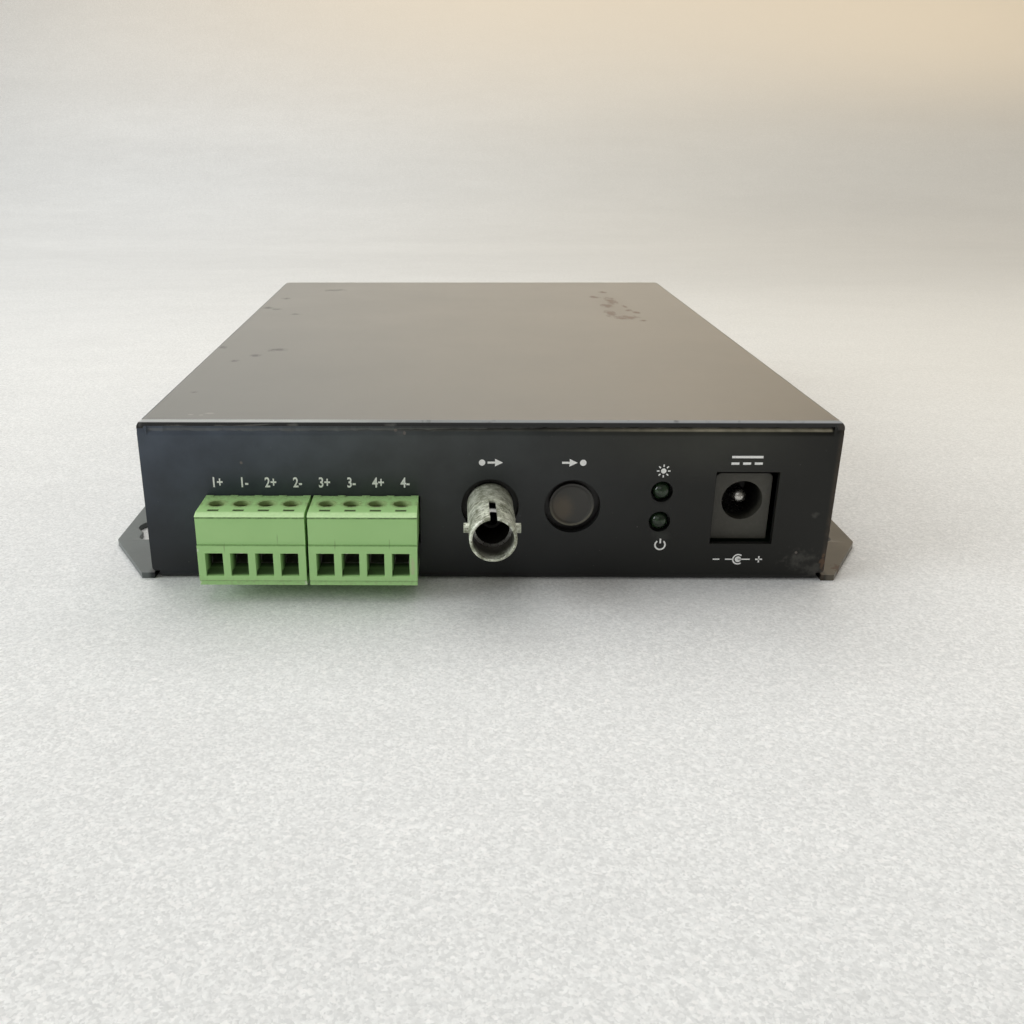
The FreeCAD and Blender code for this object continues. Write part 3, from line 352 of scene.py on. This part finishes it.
def terminal_plastic(name, centre):
    """Green plastic of one plug and its header, whose middle is at x = centre."""
    g = Graph(name, specular_ior_level=0.45)
    broad = g.noise(7, 4)
    small = g.noise(0.5, 4)
    fine = g.noise(0.14, 2)
    colour = g.mix(broad, (0.395, 0.685, 0.265), (0.455, 0.745, 0.31))

    # Grime round the screws; painted shade in the slits, the wire holes and along the moulded lines
    across = g.calc("FRACT", g.calc("DIVIDE", g.calc("SUBTRACT", g.x, centre - 2 * PITCH), PITCH))
    across = g.times(g.calc("ABSOLUTE", g.calc("SUBTRACT", across, 0.5)), PITCH)
    along = g.calc("SUBTRACT", g.y, CLAMP_Y)
    reach = g.calc("SQRT", g.calc("ADD", g.times(across, across), g.times(along, along)))
    reach = g.calc("ADD", reach, g.times(g.calc("SUBTRACT", small, 0.5), 1.2))
    above = g.step(g.z, PLUG_TOP - 2.2, PLUG_TOP - 0.8)
    grimy = g.times(g.step(reach, 2.1, 1.1), above)
    hole = g.times(g.step(across, 1.5, 1.38), g.step(g.z, 8.5, 8.1), g.step(g.z, 3.9, 4.2))
    hole_floor = g.times(g.step(g.y, PLUG_FACE + 0.05, PLUG_FACE + 0.6), g.step(g.z, 5.5, 4.9), 0.86)
    within = g.times(g.most(g.step(g.y, PLUG_FACE + 0.1, PLUG_FACE + 2.8), hole_floor), hole)
    slit = g.times(g.step(across, 0.95, 0.75), g.step(g.y, PLUG_FACE + 1.45, PLUG_FACE + 1.6),
                   g.step(g.y, PLUG_FACE + 2.35, PLUG_FACE + 2.15), g.step(g.z, 13, 13.5))
    upper_line = g.near(g.z, PLUG_TOP - 0.62, 0.2, 0.1)
    middle_line = g.times(g.near(g.z, PLUG_TOP - 5.0, 0.12, 0.05), 0.55)
    lower_line = g.times(g.near(g.z, 3.65, 0.14, 0.06), 0.7)
    on_face = g.step(g.y, PLUG_FACE + 0.5, PLUG_FACE + 0.35)
    moulded_line_shade = g.times(g.most(upper_line, middle_line, lower_line), on_face, g.span(small, 0.35, 0.6, 0.6, 1.0))
    low_dust = g.times(g.step(g.z, 4.6, 3.1), g.step(small, 0.45, 0.7))
    rear_dirt = g.times(g.step(g.y, PLUG_FACE + 5.1, PLUG_FACE + 8.2), above, g.step(small, 0.42, 0.62))
    colour = g.mix(g.times(grimy, 0.55), colour, (0.17, 0.17, 0.06))
    colour = g.mix(g.times(rear_dirt, 0.35), colour, (0.2, 0.2, 0.09))
    # Painted shade in the wire holes, the slits and along the moulded lines
    colour = g.mix(g.times(within, 0.93), colour, (0.012, 0.016, 0.008))
    colour = g.mix(g.times(slit, 0.85), colour, (0.06, 0.075, 0.03))
    colour = g.mix(g.times(moulded_line_shade, 0.75), colour, (0.06, 0.10, 0.035))
    colour = g.mix(g.times(low_dust, 0.3), colour, (0.32, 0.38, 0.2))

    # A painted highlight on the front bevel, a broken corner beside the last wire hole, torn edges and faint
    # cracks
    bevel = g.times(g.step(g.z, PLUG_TOP - 0.55, PLUG_TOP - 0.4),
                    g.step(g.y, PLUG_FACE + 1.3, PLUG_FACE + 0.9))
    colour = g.mix(g.times(bevel, g.span(small, 0.3, 0.7, 0.5, 0.9)), colour, (0.68, 0.95, 0.5))
    broken_corner = g.patch((-11.5, PLUG_FACE, 6.1), (0.7, 1.6, 2.6))
    chipped = g.broken([broken_corner], 0.7, small, 0.7, 0.6, 0.85)
    colour = g.mix(g.times(chipped, 0.8), colour, (0.5, 0.6, 0.33))
    tears = [g.patch((x, PLUG_FACE, z), half) for x, z, half in TEARS]
    torn = g.broken(tears, 0.7, small, 0.7, 0.62, 0.85)
    colour = g.mix(g.times(torn, 0.75), colour, (0.72, 0.8, 0.62))
    cracks = [g.patch((x, PLUG_FACE, z), (0.16, 1.0, 1.5)) for x, z in CRACKS]
    colour = g.mix(g.times(g.broken(cracks, 0.8, small, 0.5, 0.4, 0.9), 0.4), colour, (0.1, 0.17, 0.06))
    g.set("Base Color", colour)
    g.set("Roughness", g.calc("ADD", g.span(small, 0.3, 0.7, 0.36, 0.46), g.times(grimy, 0.2), clamp=True))
    g.bump(g.calc("ADD", g.times(fine, 0.25), g.times(chipped, small)), 0.05, 0.5)
    return g.material


def cast_metal():
    """Weathered die casting of the fibre port, with painted shade in its bore and behind the panel."""
    g = Graph("cast_metal")
    broad = g.noise(1.7, 5)
    small = g.noise(0.42, 4)
    root = g.step(g.y, FRONT - 7.2, FRONT - 6.4)
    colour = g.mix(g.step(broad, 0.36, 0.64), (0.25, 0.265, 0.19), (0.66, 0.69, 0.57))
    colour = g.mix(g.times(g.step(small, 0.5, 0.68), 0.7), colour, (0.93, 0.93, 0.84))
    pits = g.step(g.calc("ADD", small, g.times(root, 0.05)), 0.45, 0.34)
    colour = g.mix(g.times(pits, 0.8), colour, (0.12, 0.115, 0.075))
    colour = g.mix(g.times(root, 0.3), colour, (0.2, 0.2, 0.15))
    # Painted shade deep in the bore
    deep = g.step(g.y, FRONT - 14.2, FRONT - 11.0)
    aside = g.calc("POWER", g.calc("SUBTRACT", g.x, FIBER[0]), 2.0)
    upward = g.calc("POWER", g.calc("SUBTRACT", g.z, FIBER[1]), 2.0)
    away = g.calc("SQRT", g.calc("ADD", aside, upward))
    inner = g.times(deep, g.step(away, 3.3, 3.1))
    colour = g.mix(g.times(inner, 0.95), colour, (0.03, 0.025, 0.018))
    # Painted shade on the casting behind the panel, where it shows through the hole
    behind = g.step(g.y, FRONT + 0.4, FRONT + 1.0)
    colour = g.mix(g.times(behind, 0.97), colour, (0.008, 0.008, 0.007))
    g.set("Metallic", g.span(behind, 0, 1, 0.3, 0.0))
    g.set("Base Color", colour)
    g.set("Roughness", g.calc("ADD", g.span(small, 0.3, 0.7, 0.40, 0.58), g.times(root, 0.1)))
    g.bump(g.calc("ADD", g.times(small, 0.6), g.times(g.noise(0.16, 2), 0.4)), 0.05, 0.7)
    return g.material


def blank_plastic():
    """The closed port's dark disc, rubbed brown on its left, with a painted highlight along its lower rim.
    """
    g = Graph("blank_plastic")
    small = g.noise(0.6, 4)
    middle = g.patch((BLANK_X, FRONT + 0.9, FIBER[1]), (4.6, 0.9, 4.6))
    rub = g.patch((BLANK_X - 1.5, FRONT + 0.9, FIBER[1] - 0.7), (2.6, 2, 3.2))
    # A painted highlight along the lower part of the disc's rim
    edge = g.times(g.step(g.y, FRONT + 0.86, FRONT + 0.78), g.step(g.z, FIBER[1] + 1.0, FIBER[1] - 2.4))
    colour = g.mix(g.step(middle, 0.02, 0.2), (0.014, 0.013, 0.012), (0.048, 0.046, 0.041))
    colour = g.mix(g.times(g.broken([rub], 1.0, small, 0.4, 0.25, 0.95), 0.7), colour, (0.115, 0.09, 0.06))
    colour = g.mix(g.times(edge, 0.7), colour, (0.16, 0.15, 0.11))
    g.set("Base Color", colour)
    g.set("Roughness", g.span(small, 0.3, 0.7, 0.4, 0.52))
    g.bump(g.noise(0.2, 2), 0.02, 0.5)
    return g.material


def lamp_epoxy():
    """Unlit green lamps, nearly black."""
    g = Graph("lamp_epoxy", coat_weight=0.3, coat_roughness=0.1, specular_ior_level=0.4)
    small = g.noise(0.8, 3)
    # Painted shade on the part of the lamps inside the panel's hole
    inside = g.step(g.y, FRONT - 0.2, FRONT + 1.4)
    colour = g.mix(g.step(small, 0.4, 0.65), (0.01, 0.018, 0.009), (0.02, 0.042, 0.018))
    g.set("Base Color", g.mix(g.times(inside, 0.5), colour, (0.008, 0.02, 0.01)))
    g.set("Roughness", g.span(small, 0.3, 0.7, 0.1, 0.2))
    g.bump(small, 0.01, 0.3)
    return g.material


def jack_plastic():
    """Dusty face of the power jack, with painted shade inside its hole."""
    g = Graph("jack_plastic", specular_ior_level=0.45)
    small = g.noise(0.5, 4)
    broad = g.noise(4, 4)
    colour = g.mix(broad, (0.052, 0.05, 0.039), (0.069, 0.066, 0.054))
    dusty = g.times(g.step(g.y, FRONT + 2.4, FRONT + 1.9), g.step(small, 0.5, 0.75))
    # Painted shade deeper inside the jack's hole
    deep = g.step(g.y, FRONT + 2.6, FRONT + 4.2)
    colour = g.mix(g.times(dusty, 0.35), colour, (0.10, 0.096, 0.08))
    g.set("Base Color", g.mix(g.times(deep, 0.8), colour, (0.006, 0.006, 0.006)))
    g.set("Roughness", g.span(small, 0.3, 0.7, 0.36, 0.5))
    g.bump(g.noise(0.22, 2), 0.02, 0.5)
    return g.material


def threaded_nickel():
    """Nickel plate, with the fine thread of the panel fixing behind the nut."""
    g = Graph("threaded_nickel", metallic=1.0)
    small = g.noise(0.6, 4)
    broad = g.noise(5, 4)
    on_thread = g.times(g.step(g.y, REAR + 0.3, REAR + 0.5), g.step(g.y, REAR + 4.35, REAR + 4.2))
    thread_pitch = 0.8
    turns = g.calc("SINE", g.times(g.y, 2 * math.pi / thread_pitch))
    g.set("Base Color", g.mix(broad, (0.50, 0.485, 0.45), (0.66, 0.645, 0.61)))
    g.set("Roughness", g.span(small, 0.3, 0.7, 0.22, 0.38))
    g.bump(g.calc("ADD", g.times(turns, on_thread), g.times(small, 0.08)), 0.22, 0.9)
    return g.material


def board_laminate():
    """Green board with faint copper lines, and painted shade where it shows near the front panel."""
    g = Graph("board_laminate")
    lines = g.step(g.noise(2.2, 2, (0.3, 3, 1)), 0.5, 0.54)
    broad = g.noise(12, 3)
    colour = g.mix(lines, (0.02, 0.10, 0.04), (0.03, 0.15, 0.06))
    colour = g.mix(g.times(broad, 0.3), colour, (0.02, 0.07, 0.03))
    # Painted shade on the board near the front panel
    rim = g.step(g.y, FRONT + 6, FRONT + 3.2)
    g.set("Base Color", g.mix(g.times(rim, 0.9), colour, (0.008, 0.012, 0.008)))
    g.set("Roughness", g.span(broad, 0.3, 0.7, 0.3, 0.42))
    g.bump(lines, 0.03, 0.4)
    return g.material


def mark_paint():
    """White ink of the printed signs."""
    g = Graph("mark_paint")
    small = g.noise(0.3, 3)
    g.set("Base Color", g.mix(g.step(small, 0.58, 0.75), (0.94, 0.94, 0.92), (0.68, 0.68, 0.66)))
    g.set("Roughness", g.span(small, 0.3, 0.7, 0.45, 0.6))
    g.bump(small, 0.01, 0.3)
    return g.material


# Plain finishes by slot: colour, its spread, grain, bump, roughness from and to, metal, stretch of the grain
PLAIN = {
    "black_screw": ((0.03, 0.03, 0.031), 0.3, 0.4, 0.02, 0.34, 0.46, 0.6),
    "bright_steel": ((0.56, 0.56, 0.54), 0.14, 0.35, 0.02, 0.24, 0.38, 1.0),
    "tinned_metal": ((0.58, 0.57, 0.53), 0.16, 0.3, 0.02, 0.3, 0.44, 1.0),
    "clamp_steel": ((0.34, 0.28, 0.19), 0.35, 0.3, 0.05, 0.42, 0.6, 0.7),
    "sleeve_plastic": ((0.016, 0.0155, 0.014), 0.25, 0.3, 0.02, 0.38, 0.5),
    "black_plastic": ((0.02, 0.02, 0.02), 0.25, 0.3, 0.02, 0.4, 0.52),
    "nickel": ((0.6, 0.585, 0.55), 0.12, 0.4, 0.02, 0.2, 0.34, 1.0),
    "gold_contact": ((0.74, 0.53, 0.2), 0.1, 0.3, 0.01, 0.22, 0.32, 1.0),
    "white_plastic": ((0.76, 0.75, 0.71), 0.06, 0.5, 0.02, 0.36, 0.48),
    "chip_plastic": ((0.02, 0.02, 0.021), 0.2, 0.25, 0.03, 0.5, 0.62),
    "capacitor_can": ((0.6, 0.6, 0.61), 0.1, 0.3, 0.02, 0.28, 0.4, 1.0, (1, 1, 8)),
    "coil_ferrite": ((0.045, 0.045, 0.046), 0.2, 0.3, 0.04, 0.5, 0.66),
}
MATERIALS = {slot: plain_finish(slot, *values) for slot, values in PLAIN.items()}
MATERIALS["board_laminate"] = board_laminate()
MATERIALS["cast_metal"] = cast_metal()
MATERIALS["lamp_green"] = lamp_epoxy()

# Nodes whose finish is their own
LEFT_GREEN = terminal_plastic("left_green", BLOCKS[0])
RIGHT_GREEN = terminal_plastic("right_green", BLOCKS[1])
PANEL = panel_paint()
THREADED = threaded_nickel()
BY_NODE = {
    "top_cover": cover_paint(), "base_chassis": PANEL,
    "port_blank": blank_plastic(), "power_jack": jack_plastic(),
    "left_plug": LEFT_GREEN, "left_header": LEFT_GREEN,
    "right_plug": RIGHT_GREEN, "right_header": RIGHT_GREEN,
}
VIDEO_JACKS = ["video_jack_%d" % number for number in range(1, 5)]
CLAMP_SCREWS = ["clamp_screw_%d" % number for number in range(1, 9)]
BY_NODE.update({node: THREADED for node in VIDEO_JACKS})
slot_of = {s["node"]: s["material_slot"] for s in frame["record"]["subparts"]}


def dress(piece, node):
    piece.data.materials.clear()
    piece.data.materials.append(BY_NODE.get(node) or MATERIALS[slot_of[node]])


# Width of the broken edges of visible nodes, in millimetres, and of the worn lip along the cover's front
SOFT = {"top_cover": 0.16, "base_chassis": 0.12, "left_plug": 0.10, "right_plug": 0.10, "fiber_port": 0.07,
        "power_jack": 0.14, "video_nuts": 0.2, "cover_screws": 0.1}
SOFT.update({node: 0.08 for node in VIDEO_JACKS})
SOFT.update({node: 0.06 for node in CLAMP_SCREWS})
LIP_WEAR = 0.34
LIP_DEPTH = 0.85
WELD = 3e-6                # metres
FLAT_WITHIN = 0.6          # degrees
SHARPER_THAN = 32.0
SHADED_SHARP = 38.0


def round_edges(work, edges, width, segments):
    bmesh.ops.bevel(work, geom=edges, offset=width * MM, offset_type="OFFSET", segments=segments,
                    profile=0.5, affect="EDGES", clamp_overlap=True)


def on_lip(edge):
    return all(v.co.y < (FRONT + 0.01) * MM and v.co.z > (TOP - LIP_DEPTH) * MM for v in edge.verts)


def softened(node, width):
    """Copy of a node with its sharp edges bevelled, which stands for the node."""
    mesh = nodes[node].data.copy()
    mesh.name = node + "_soft"
    work = bmesh.new()
    work.from_mesh(mesh)
    bmesh.ops.remove_doubles(work, verts=work.verts, dist=WELD)
    bmesh.ops.dissolve_limit(work, angle_limit=math.radians(FLAT_WITHIN), verts=work.verts, edges=work.edges)
    if node == "top_cover":
        round_edges(work, [e for e in work.edges if on_lip(e)], LIP_WEAR, 3)
    limit = math.radians(SHARPER_THAN)
    sharp = [e for e in work.edges if len(e.link_faces) == 2 and e.calc_face_angle(0.0) > limit]
    round_edges(work, sharp, width, 2)
    bmesh.ops.triangulate(work, faces=[f for f in work.faces if len(f.verts) > 4])
    work.normal_update()
    for attribute in ("custom_normal", "sharp_edge", "sharp_face"):
        if attribute in mesh.attributes:
            mesh.attributes.remove(mesh.attributes[attribute])
    work.to_mesh(mesh)
    work.free()
    for polygon in mesh.polygons:
        polygon.use_smooth = True
    mesh.set_sharp_from_angle(angle=math.radians(SHADED_SHARP))
    piece = bpy.data.objects.new(node + "_soft", mesh)
    scene.collection.objects.link(piece)
    piece.modifiers.new("weighted", "WEIGHTED_NORMAL").keep_sharp = True
    dress(piece, node)
    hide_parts(node)
    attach(piece, body_by_node[node])


for node, piece in nodes.items():
    if node in SOFT:
        softened(node, SOFT[node])
    else:
        dress(piece, node)


def part_cover_finish():
    """The cover's top is glossier than its walls and cut edges."""
    mesh = bpy.data.objects["top_cover_soft"].data
    mesh.materials.append(edge_paint())
    for polygon in mesh.polygons:
        level = polygon.normal.z > 0.97 and polygon.center.z > (TOP - 0.3) * MM
        polygon.material_index = 0 if level else 1


part_cover_finish()


# Old paint that fills the seam under the cover's front edge, set back further on the right
SEAM_HALF = 52.62          # half its length
SEAM_TOP = TOP - COVER_SHEET + 0.02
SEAM_BACK = FRONT + 1.25
SEAM_STEPS = 160

# The same paint at the two front corners: outline in x and z, front and back
BEAD = [(52.5, 23.95), (53.97, 23.95), (53.97, 25.3), (53.4, 25.45), (52.5, 25.62)]
BEAD_FRONT = FRONT + 0.02
BEAD_BACK = FRONT + 0.98


def seam_section(x):
    """Four corners of the filling at one x, with an uneven front that ends on the base's fold."""
    share = (x + SEAM_HALF) / (2 * SEAM_HALF)
    wave = 0.05 * math.sin(0.9 * x) + 0.04 * math.sin(2.3 * x + 1.0) + 0.03 * math.sin(5.1 * x + 2.0)
    depth = 0.2 + 0.5 * min(1.0, max(0.0, (share - 0.25) / 0.4)) + wave
    fold_z = PANEL_TOP - FOLD_R
    foot = fold_z + math.sqrt(FOLD_R ** 2 - (FOLD_R - depth) ** 2) - 0.04
    return [mm(x, FRONT + depth, SEAM_TOP), mm(x, FRONT + depth + 0.04, foot),
            mm(x, SEAM_BACK, PANEL_TOP - 0.05), mm(x, SEAM_BACK, SEAM_TOP)]


def seam_paint():
    points = []
    faces = []
    for i in range(SEAM_STEPS + 1):
        points += seam_section(SEAM_HALF * (2 * i / SEAM_STEPS - 1))
    for i in range(SEAM_STEPS):
        a, b = 4 * i, 4 * i + 4
        faces += [(a + k, a + (k + 1) % 4, b + (k + 1) % 4, b + k) for k in range(4)]
    faces += [(3, 2, 1, 0), tuple(4 * SEAM_STEPS + k for k in range(4))]
    count = len(BEAD)
    for side in (-1, 1):
        front = [len(points) + k for k in range(count)]
        back = [i + count for i in front]
        points += [mm(side * x, y, z) for y in (BEAD_FRONT, BEAD_BACK) for x, z in BEAD]
        faces += [tuple(front), tuple(reversed(back))]
        for k in range(count):
            after = (k + 1) % count
            faces.append((front[after], front[k], back[k], back[after]))
    mesh = bpy.data.meshes.new("seam_paint")
    mesh.from_pydata(points, [], faces)
    work = bmesh.new()
    work.from_mesh(mesh)
    bmesh.ops.recalc_face_normals(work, faces=work.faces)
    work.to_mesh(mesh)
    work.free()
    mesh.materials.append(PANEL)
    piece = bpy.data.objects.new("seam_paint", mesh)
    scene.collection.objects.link(piece)
    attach(piece, "chassis")


seam_paint()


class Marks:
    """Printed signs drawn flat in x and z, in millimetres, and built as one mesh."""

    def __init__(self):
        self.points = []
        self.faces = []

    def add(self, points, faces):
        start = len(self.points)
        self.points += points
        self.faces += [tuple(start + i for i in face) for face in faces]

    def bar(self, a, b, thickness):
        a, b = Vector(a), Vector(b)
        side = (b - a).orthogonal().normalized() * thickness / 2
        self.add([a - side, b - side, b + side, a + side], [(0, 1, 2, 3)])

    def ring(self, centre, inner, outer, start=0.0, end=360.0, steps=36):
        centre = Vector(centre)
        points = []
        for i in range(steps + 1):
            turn = math.radians(start + (end - start) * i / steps)
            way = Vector((math.cos(turn), math.sin(turn)))
            points += [centre + way * inner, centre + way * outer]
        self.add(points, [(2 * i, 2 * i + 1, 2 * i + 3, 2 * i + 2) for i in range(steps)])

    def disc(self, centre, r, steps=28):
        centre = Vector(centre)
        turns = [2 * math.pi * i / steps for i in range(steps)]
        self.add([centre + Vector((math.cos(t), math.sin(t))) * r for t in turns], [tuple(range(steps))])

    def arrow(self, tail, tip, thickness, head):
        tail, tip = Vector(tail), Vector(tip)
        way = (tip - tail).normalized()
        side = Vector((-way.y, way.x)) * head * 0.5
        neck = tip - way * head
        self.bar(tail, neck, thickness)
        self.add([neck - side, tip, neck + side], [(0, 1, 2)])

    def glyphs(self, text, centre, height, squeeze):
        curve = bpy.data.curves.new("glyphs", "FONT")
        curve.body = text
        curve.align_x = "CENTER"
        curve.align_y = "CENTER"
        curve.size = height * 1.38
        curve.offset = height * 0.03
        holder = bpy.data.objects.new("glyphs", curve)
        mesh = bpy.data.meshes.new_from_object(holder)
        points = [Vector((centre[0] + v.co.x * squeeze, centre[1] + v.co.y)) for v in mesh.vertices]
        self.add(points, [tuple(p.vertices) for p in mesh.polygons])
        bpy.data.meshes.remove(mesh)
        bpy.data.objects.remove(holder)
        bpy.data.curves.remove(curve)

    def build(self, name, y):
        mesh = bpy.data.meshes.new(name)
        mesh.from_pydata([mm(p.x, y, p.y) for p in self.points], [], self.faces)
        mesh.update()
        piece = bpy.data.objects.new(name, mesh)
        scene.collection.objects.link(piece)
        piece.data.materials.append(mark_paint())
        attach(piece, "chassis")


marks = Marks()

# Numbers and poles of the eight terminals
for i in range(8):
    label = "%d%s" % (i // 2 + 1, "-" if i % 2 else "+")
    marks.glyphs(label, (-42.3 + i * 4.2, 16.42), 1.66, 0.76)

# Arrows out of the fibre port and into the closed one
port_z = 19.82
marks.disc((FIBER[0] - 1.35, port_z), 0.5)
marks.arrow((FIBER[0] - 0.5, port_z), (FIBER[0] + 1.9, port_z), 0.34, 1.25)
marks.arrow((BLANK_X - 1.9, port_z), (BLANK_X + 0.5, port_z), 0.34, 1.25)
marks.disc((BLANK_X + 1.35, port_z), 0.5)

# A sun over the upper lamp and a power sign under the lower one
sun = Vector((LAMP_X, 18.52))
marks.disc(sun, 0.42)
for i in range(8):
    turn = math.pi * i / 4
    way = Vector((math.cos(turn), math.sin(turn)))
    marks.bar(sun + way * 0.66, sun + way * 1.05, 0.2)
power = (LAMP_X + 0.4, 6.15)
marks.ring(power, 0.66, 0.92, 128, 412)
marks.bar((power[0], power[1] + 0.25), (power[0], power[1] + 1.08), 0.26)

# Direct current over the jack and its centre-positive sign below
direct = (39.8, 20.25)
marks.bar((direct[0] - 2.4, direct[1] + 0.55), (direct[0] + 2.4, direct[1] + 0.55), 0.38)
for i in (-1, 0, 1):
    dash = direct[0] + i * 1.79
    marks.bar((dash - 0.61, direct[1] - 0.5), (dash + 0.61, direct[1] - 0.5), 0.38)
pole = (40.1, 3.7)
marks.disc(pole, 0.5)
marks.ring(pole, 0.7, 0.92, 52, 308)
marks.bar((pole[0] - 2.05, pole[1]), (pole[0] - 0.8, pole[1]), 0.2)
marks.bar((pole[0], pole[1]), (pole[0] + 1.9, pole[1]), 0.2)
marks.bar((pole[0] - 4.0, pole[1]), (pole[0] - 2.95, pole[1]), 0.22)
marks.bar((pole[0] + 2.75, pole[1]), (pole[0] + 3.85, pole[1]), 0.22)
marks.bar((pole[0] + 3.3, pole[1] - 0.55), (pole[0] + 3.3, pole[1] + 0.55), 0.22)
marks.build("panel_signs", FRONT - 0.015)


def foam():
    """Pale foam sheet of the floor and backdrop: beads, lumps, clouds and a painted warm light on the right
    side.
    """
    g = Graph("foam", specular_ior_level=0.3)
    bead = g.cells(0.3)
    flake = g.cells(0.42)
    lump = g.cells(1.0)
    grain = g.noise(0.9, 4, roughness=0.7)
    bands = g.noise(95, 4, (4, 1, 0.6))
    clouds = g.noise(14, 4, (2.2, 1, 1))
    colour = g.mix(bead, (0.74, 0.752, 0.756), (0.955, 0.965, 0.967))
    colour = g.mix(g.times(g.step(flake, 0.85, 0.97), 0.85), colour, (0.985, 0.985, 0.985))
    colour = g.mix(g.times(g.step(grain, 0.62, 0.42), 0.14), colour, (0.4, 0.4, 0.4))
    colour = g.mix(g.times(lump, 0.07), colour, (0.4, 0.4, 0.4))
    colour = g.mix(g.times(g.step(clouds, 0.3, 0.7), 0.07), colour, (0.4, 0.4, 0.4))
    # Painted warm light over the right side of the floor
    warm = g.times(g.step(g.x, -250, 200), g.step(g.y, -160, 100))
    colour = g.mix(g.times(warm, 0.5), colour, (0.68, 0.635, 0.545))

    # Ripples behind the box, painted shade and painted warm light on the far part, and the plain backdrop
    # above the picture, painted warmer to the right
    above = g.step(g.z, 190, 250)
    seen = g.calc("SUBTRACT", 1.0, above)
    behind = g.times(g.step(g.y, 0, 360), seen)
    colour = g.mix(g.times(g.step(bands, 0.35, 0.65), behind, 0.07), colour, (0.3, 0.3, 0.3))
    # Painted shade on the far part behind the box, deeper to the right
    colour = g.mix(g.times(behind, g.span(g.x, -300, 300, 0.17, 0.32)), colour, (0, 0, 0))
    far = g.times(g.step(g.z, 20, 200), g.step(g.x, -700, 100))
    colour = g.mix(g.times(far, seen, 0.8), colour, (0.76, 0.65, 0.505))
    corner = g.times(g.step(g.x, 100, 500), g.step(g.z, 50, 160), seen)
    colour = g.mix(g.times(corner, 0.5), colour, (0.93, 0.79, 0.6))
    backdrop = g.mix(g.step(g.x, -350, 400), (0.79, 0.80, 0.765), (0.775, 0.64, 0.465))
    colour = g.mix(g.times(above, 0.8), colour, backdrop)
    g.set("Base Color", colour)
    g.set("Roughness", 0.6)
    g.bump(grain, 0.15, 0.15)
    return g.material


# Floor and backdrop in one sweep, in metres
FLOOR_HALF = 7.0
RISE_FROM = 0.42
RISE_RADIUS = 0.42
RISE_STEPS = 24
BACKDROP_TOP = 1.7


def sweep():
    profile = [(-FLOOR_HALF, 0.0), (RISE_FROM, 0.0)]
    for i in range(1, RISE_STEPS + 1):
        turn = math.pi / 2 * i / RISE_STEPS
        profile.append((RISE_FROM + RISE_RADIUS * math.sin(turn), RISE_RADIUS * (1 - math.cos(turn))))
    profile.append((RISE_FROM + RISE_RADIUS, BACKDROP_TOP))
    points = [(x, y, z) for y, z in profile for x in (-FLOOR_HALF, FLOOR_HALF)]
    faces = [(2 * i, 2 * i + 1, 2 * i + 3, 2 * i + 2) for i in range(len(profile) - 1)]
    mesh = bpy.data.meshes.new("floor")
    mesh.from_pydata(points, [], faces)
    for polygon in mesh.polygons:
        polygon.use_smooth = True
    piece = bpy.data.objects.new("floor", mesh)
    scene.collection.objects.link(piece)
    mesh.materials.append(foam())


sweep()


def area(name, place, target, size, energy, colour):
    """Panel of light at a place in metres, turned to its target."""
    data = bpy.data.lights.new(name, "AREA")
    data.shape = "RECTANGLE"
    data.size, data.size_y = size
    data.energy = energy
    data.color = colour
    piece = bpy.data.objects.new(name, data)
    scene.collection.objects.link(piece)
    piece.location = place
    piece.rotation_euler = (Vector(target) - Vector(place)).to_track_quat("-Z", "Y").to_euler()


def daylight(name, source, strength, width, colour):
    """Broad light from far away, even over the whole floor."""
    data = bpy.data.lights.new(name, "SUN")
    data.energy = strength
    data.angle = math.radians(width)
    data.color = colour
    piece = bpy.data.objects.new(name, data)
    scene.collection.objects.link(piece)
    piece.location = source
    piece.rotation_euler = (-Vector(source)).to_track_quat("-Z", "Y").to_euler()


area("overhead", (-0.05, 0.2, 0.92), (0, 0.0, 0.02), (1.0, 0.8), 4.4, (1.0, 0.99, 0.965))
area("rear", (-0.12, 0.6, 0.66), (0, 0.0, 0.02), (0.9, 0.3), 2.4, (1.0, 0.985, 0.95))
area("front_fill", (-0.35, -0.85, 0.6), (0, -0.05, 0.01), (0.7, 0.5), 0.6, (0.97, 0.99, 1.0))
daylight("left_window", (-0.88, -0.2, 0.38), 1.65, 40.0, (0.93, 0.975, 1.0))
area("warm_side", (0.8, 0.3, 0.45), (0, 0, 0.02), (0.5, 0.5), 0.9, (1.0, 0.86, 0.68))

world = bpy.data.worlds.new("world")
scene.world = world
world.use_nodes = True
world.node_tree.nodes["Background"].inputs[0].default_value = (1.0, 0.955, 0.87, 1.0)
world.node_tree.nodes["Background"].inputs[1].default_value = 0.2


# Camera fitted to the photo: focal length and picture centre in pixels, eye in millimetres, turns in degrees
PICTURE = 1024
FOCAL = 999.7
CENTRE = (437.8, 520.0)
SENSOR = 36.0
EYE = (-5.841, FRONT - 147.064, 67.838)
YAW_PITCH_ROLL = (-0.775, 21.375, 0.114)


def photo_camera():
    data = bpy.data.cameras.new("camera")
    data.sensor_width = SENSOR
    data.lens = SENSOR * FOCAL / PICTURE
    data.shift_x = (PICTURE / 2 - CENTRE[0]) / PICTURE
    data.shift_y = (CENTRE[1] - PICTURE / 2) / PICTURE
    data.clip_start = 0.01
    yaw, pitch, roll = (math.radians(a) for a in YAW_PITCH_ROLL)
    ahead = Vector((math.sin(yaw) * math.cos(pitch), math.cos(yaw) * math.cos(pitch), -math.sin(pitch)))
    right = Vector((math.cos(yaw), -math.sin(yaw), 0))
    down = ahead.cross(right)
    across = right * math.cos(roll) + down * math.sin(roll)
    below = down * math.cos(roll) - right * math.sin(roll)
    turn = Matrix((across, -below, -ahead)).transposed().to_4x4()
    piece = bpy.data.objects.new("camera", data)
    scene.collection.objects.link(piece)
    piece.matrix_world = Matrix.Translation(mm(*EYE)) @ turn
    scene.camera = piece


photo_camera()
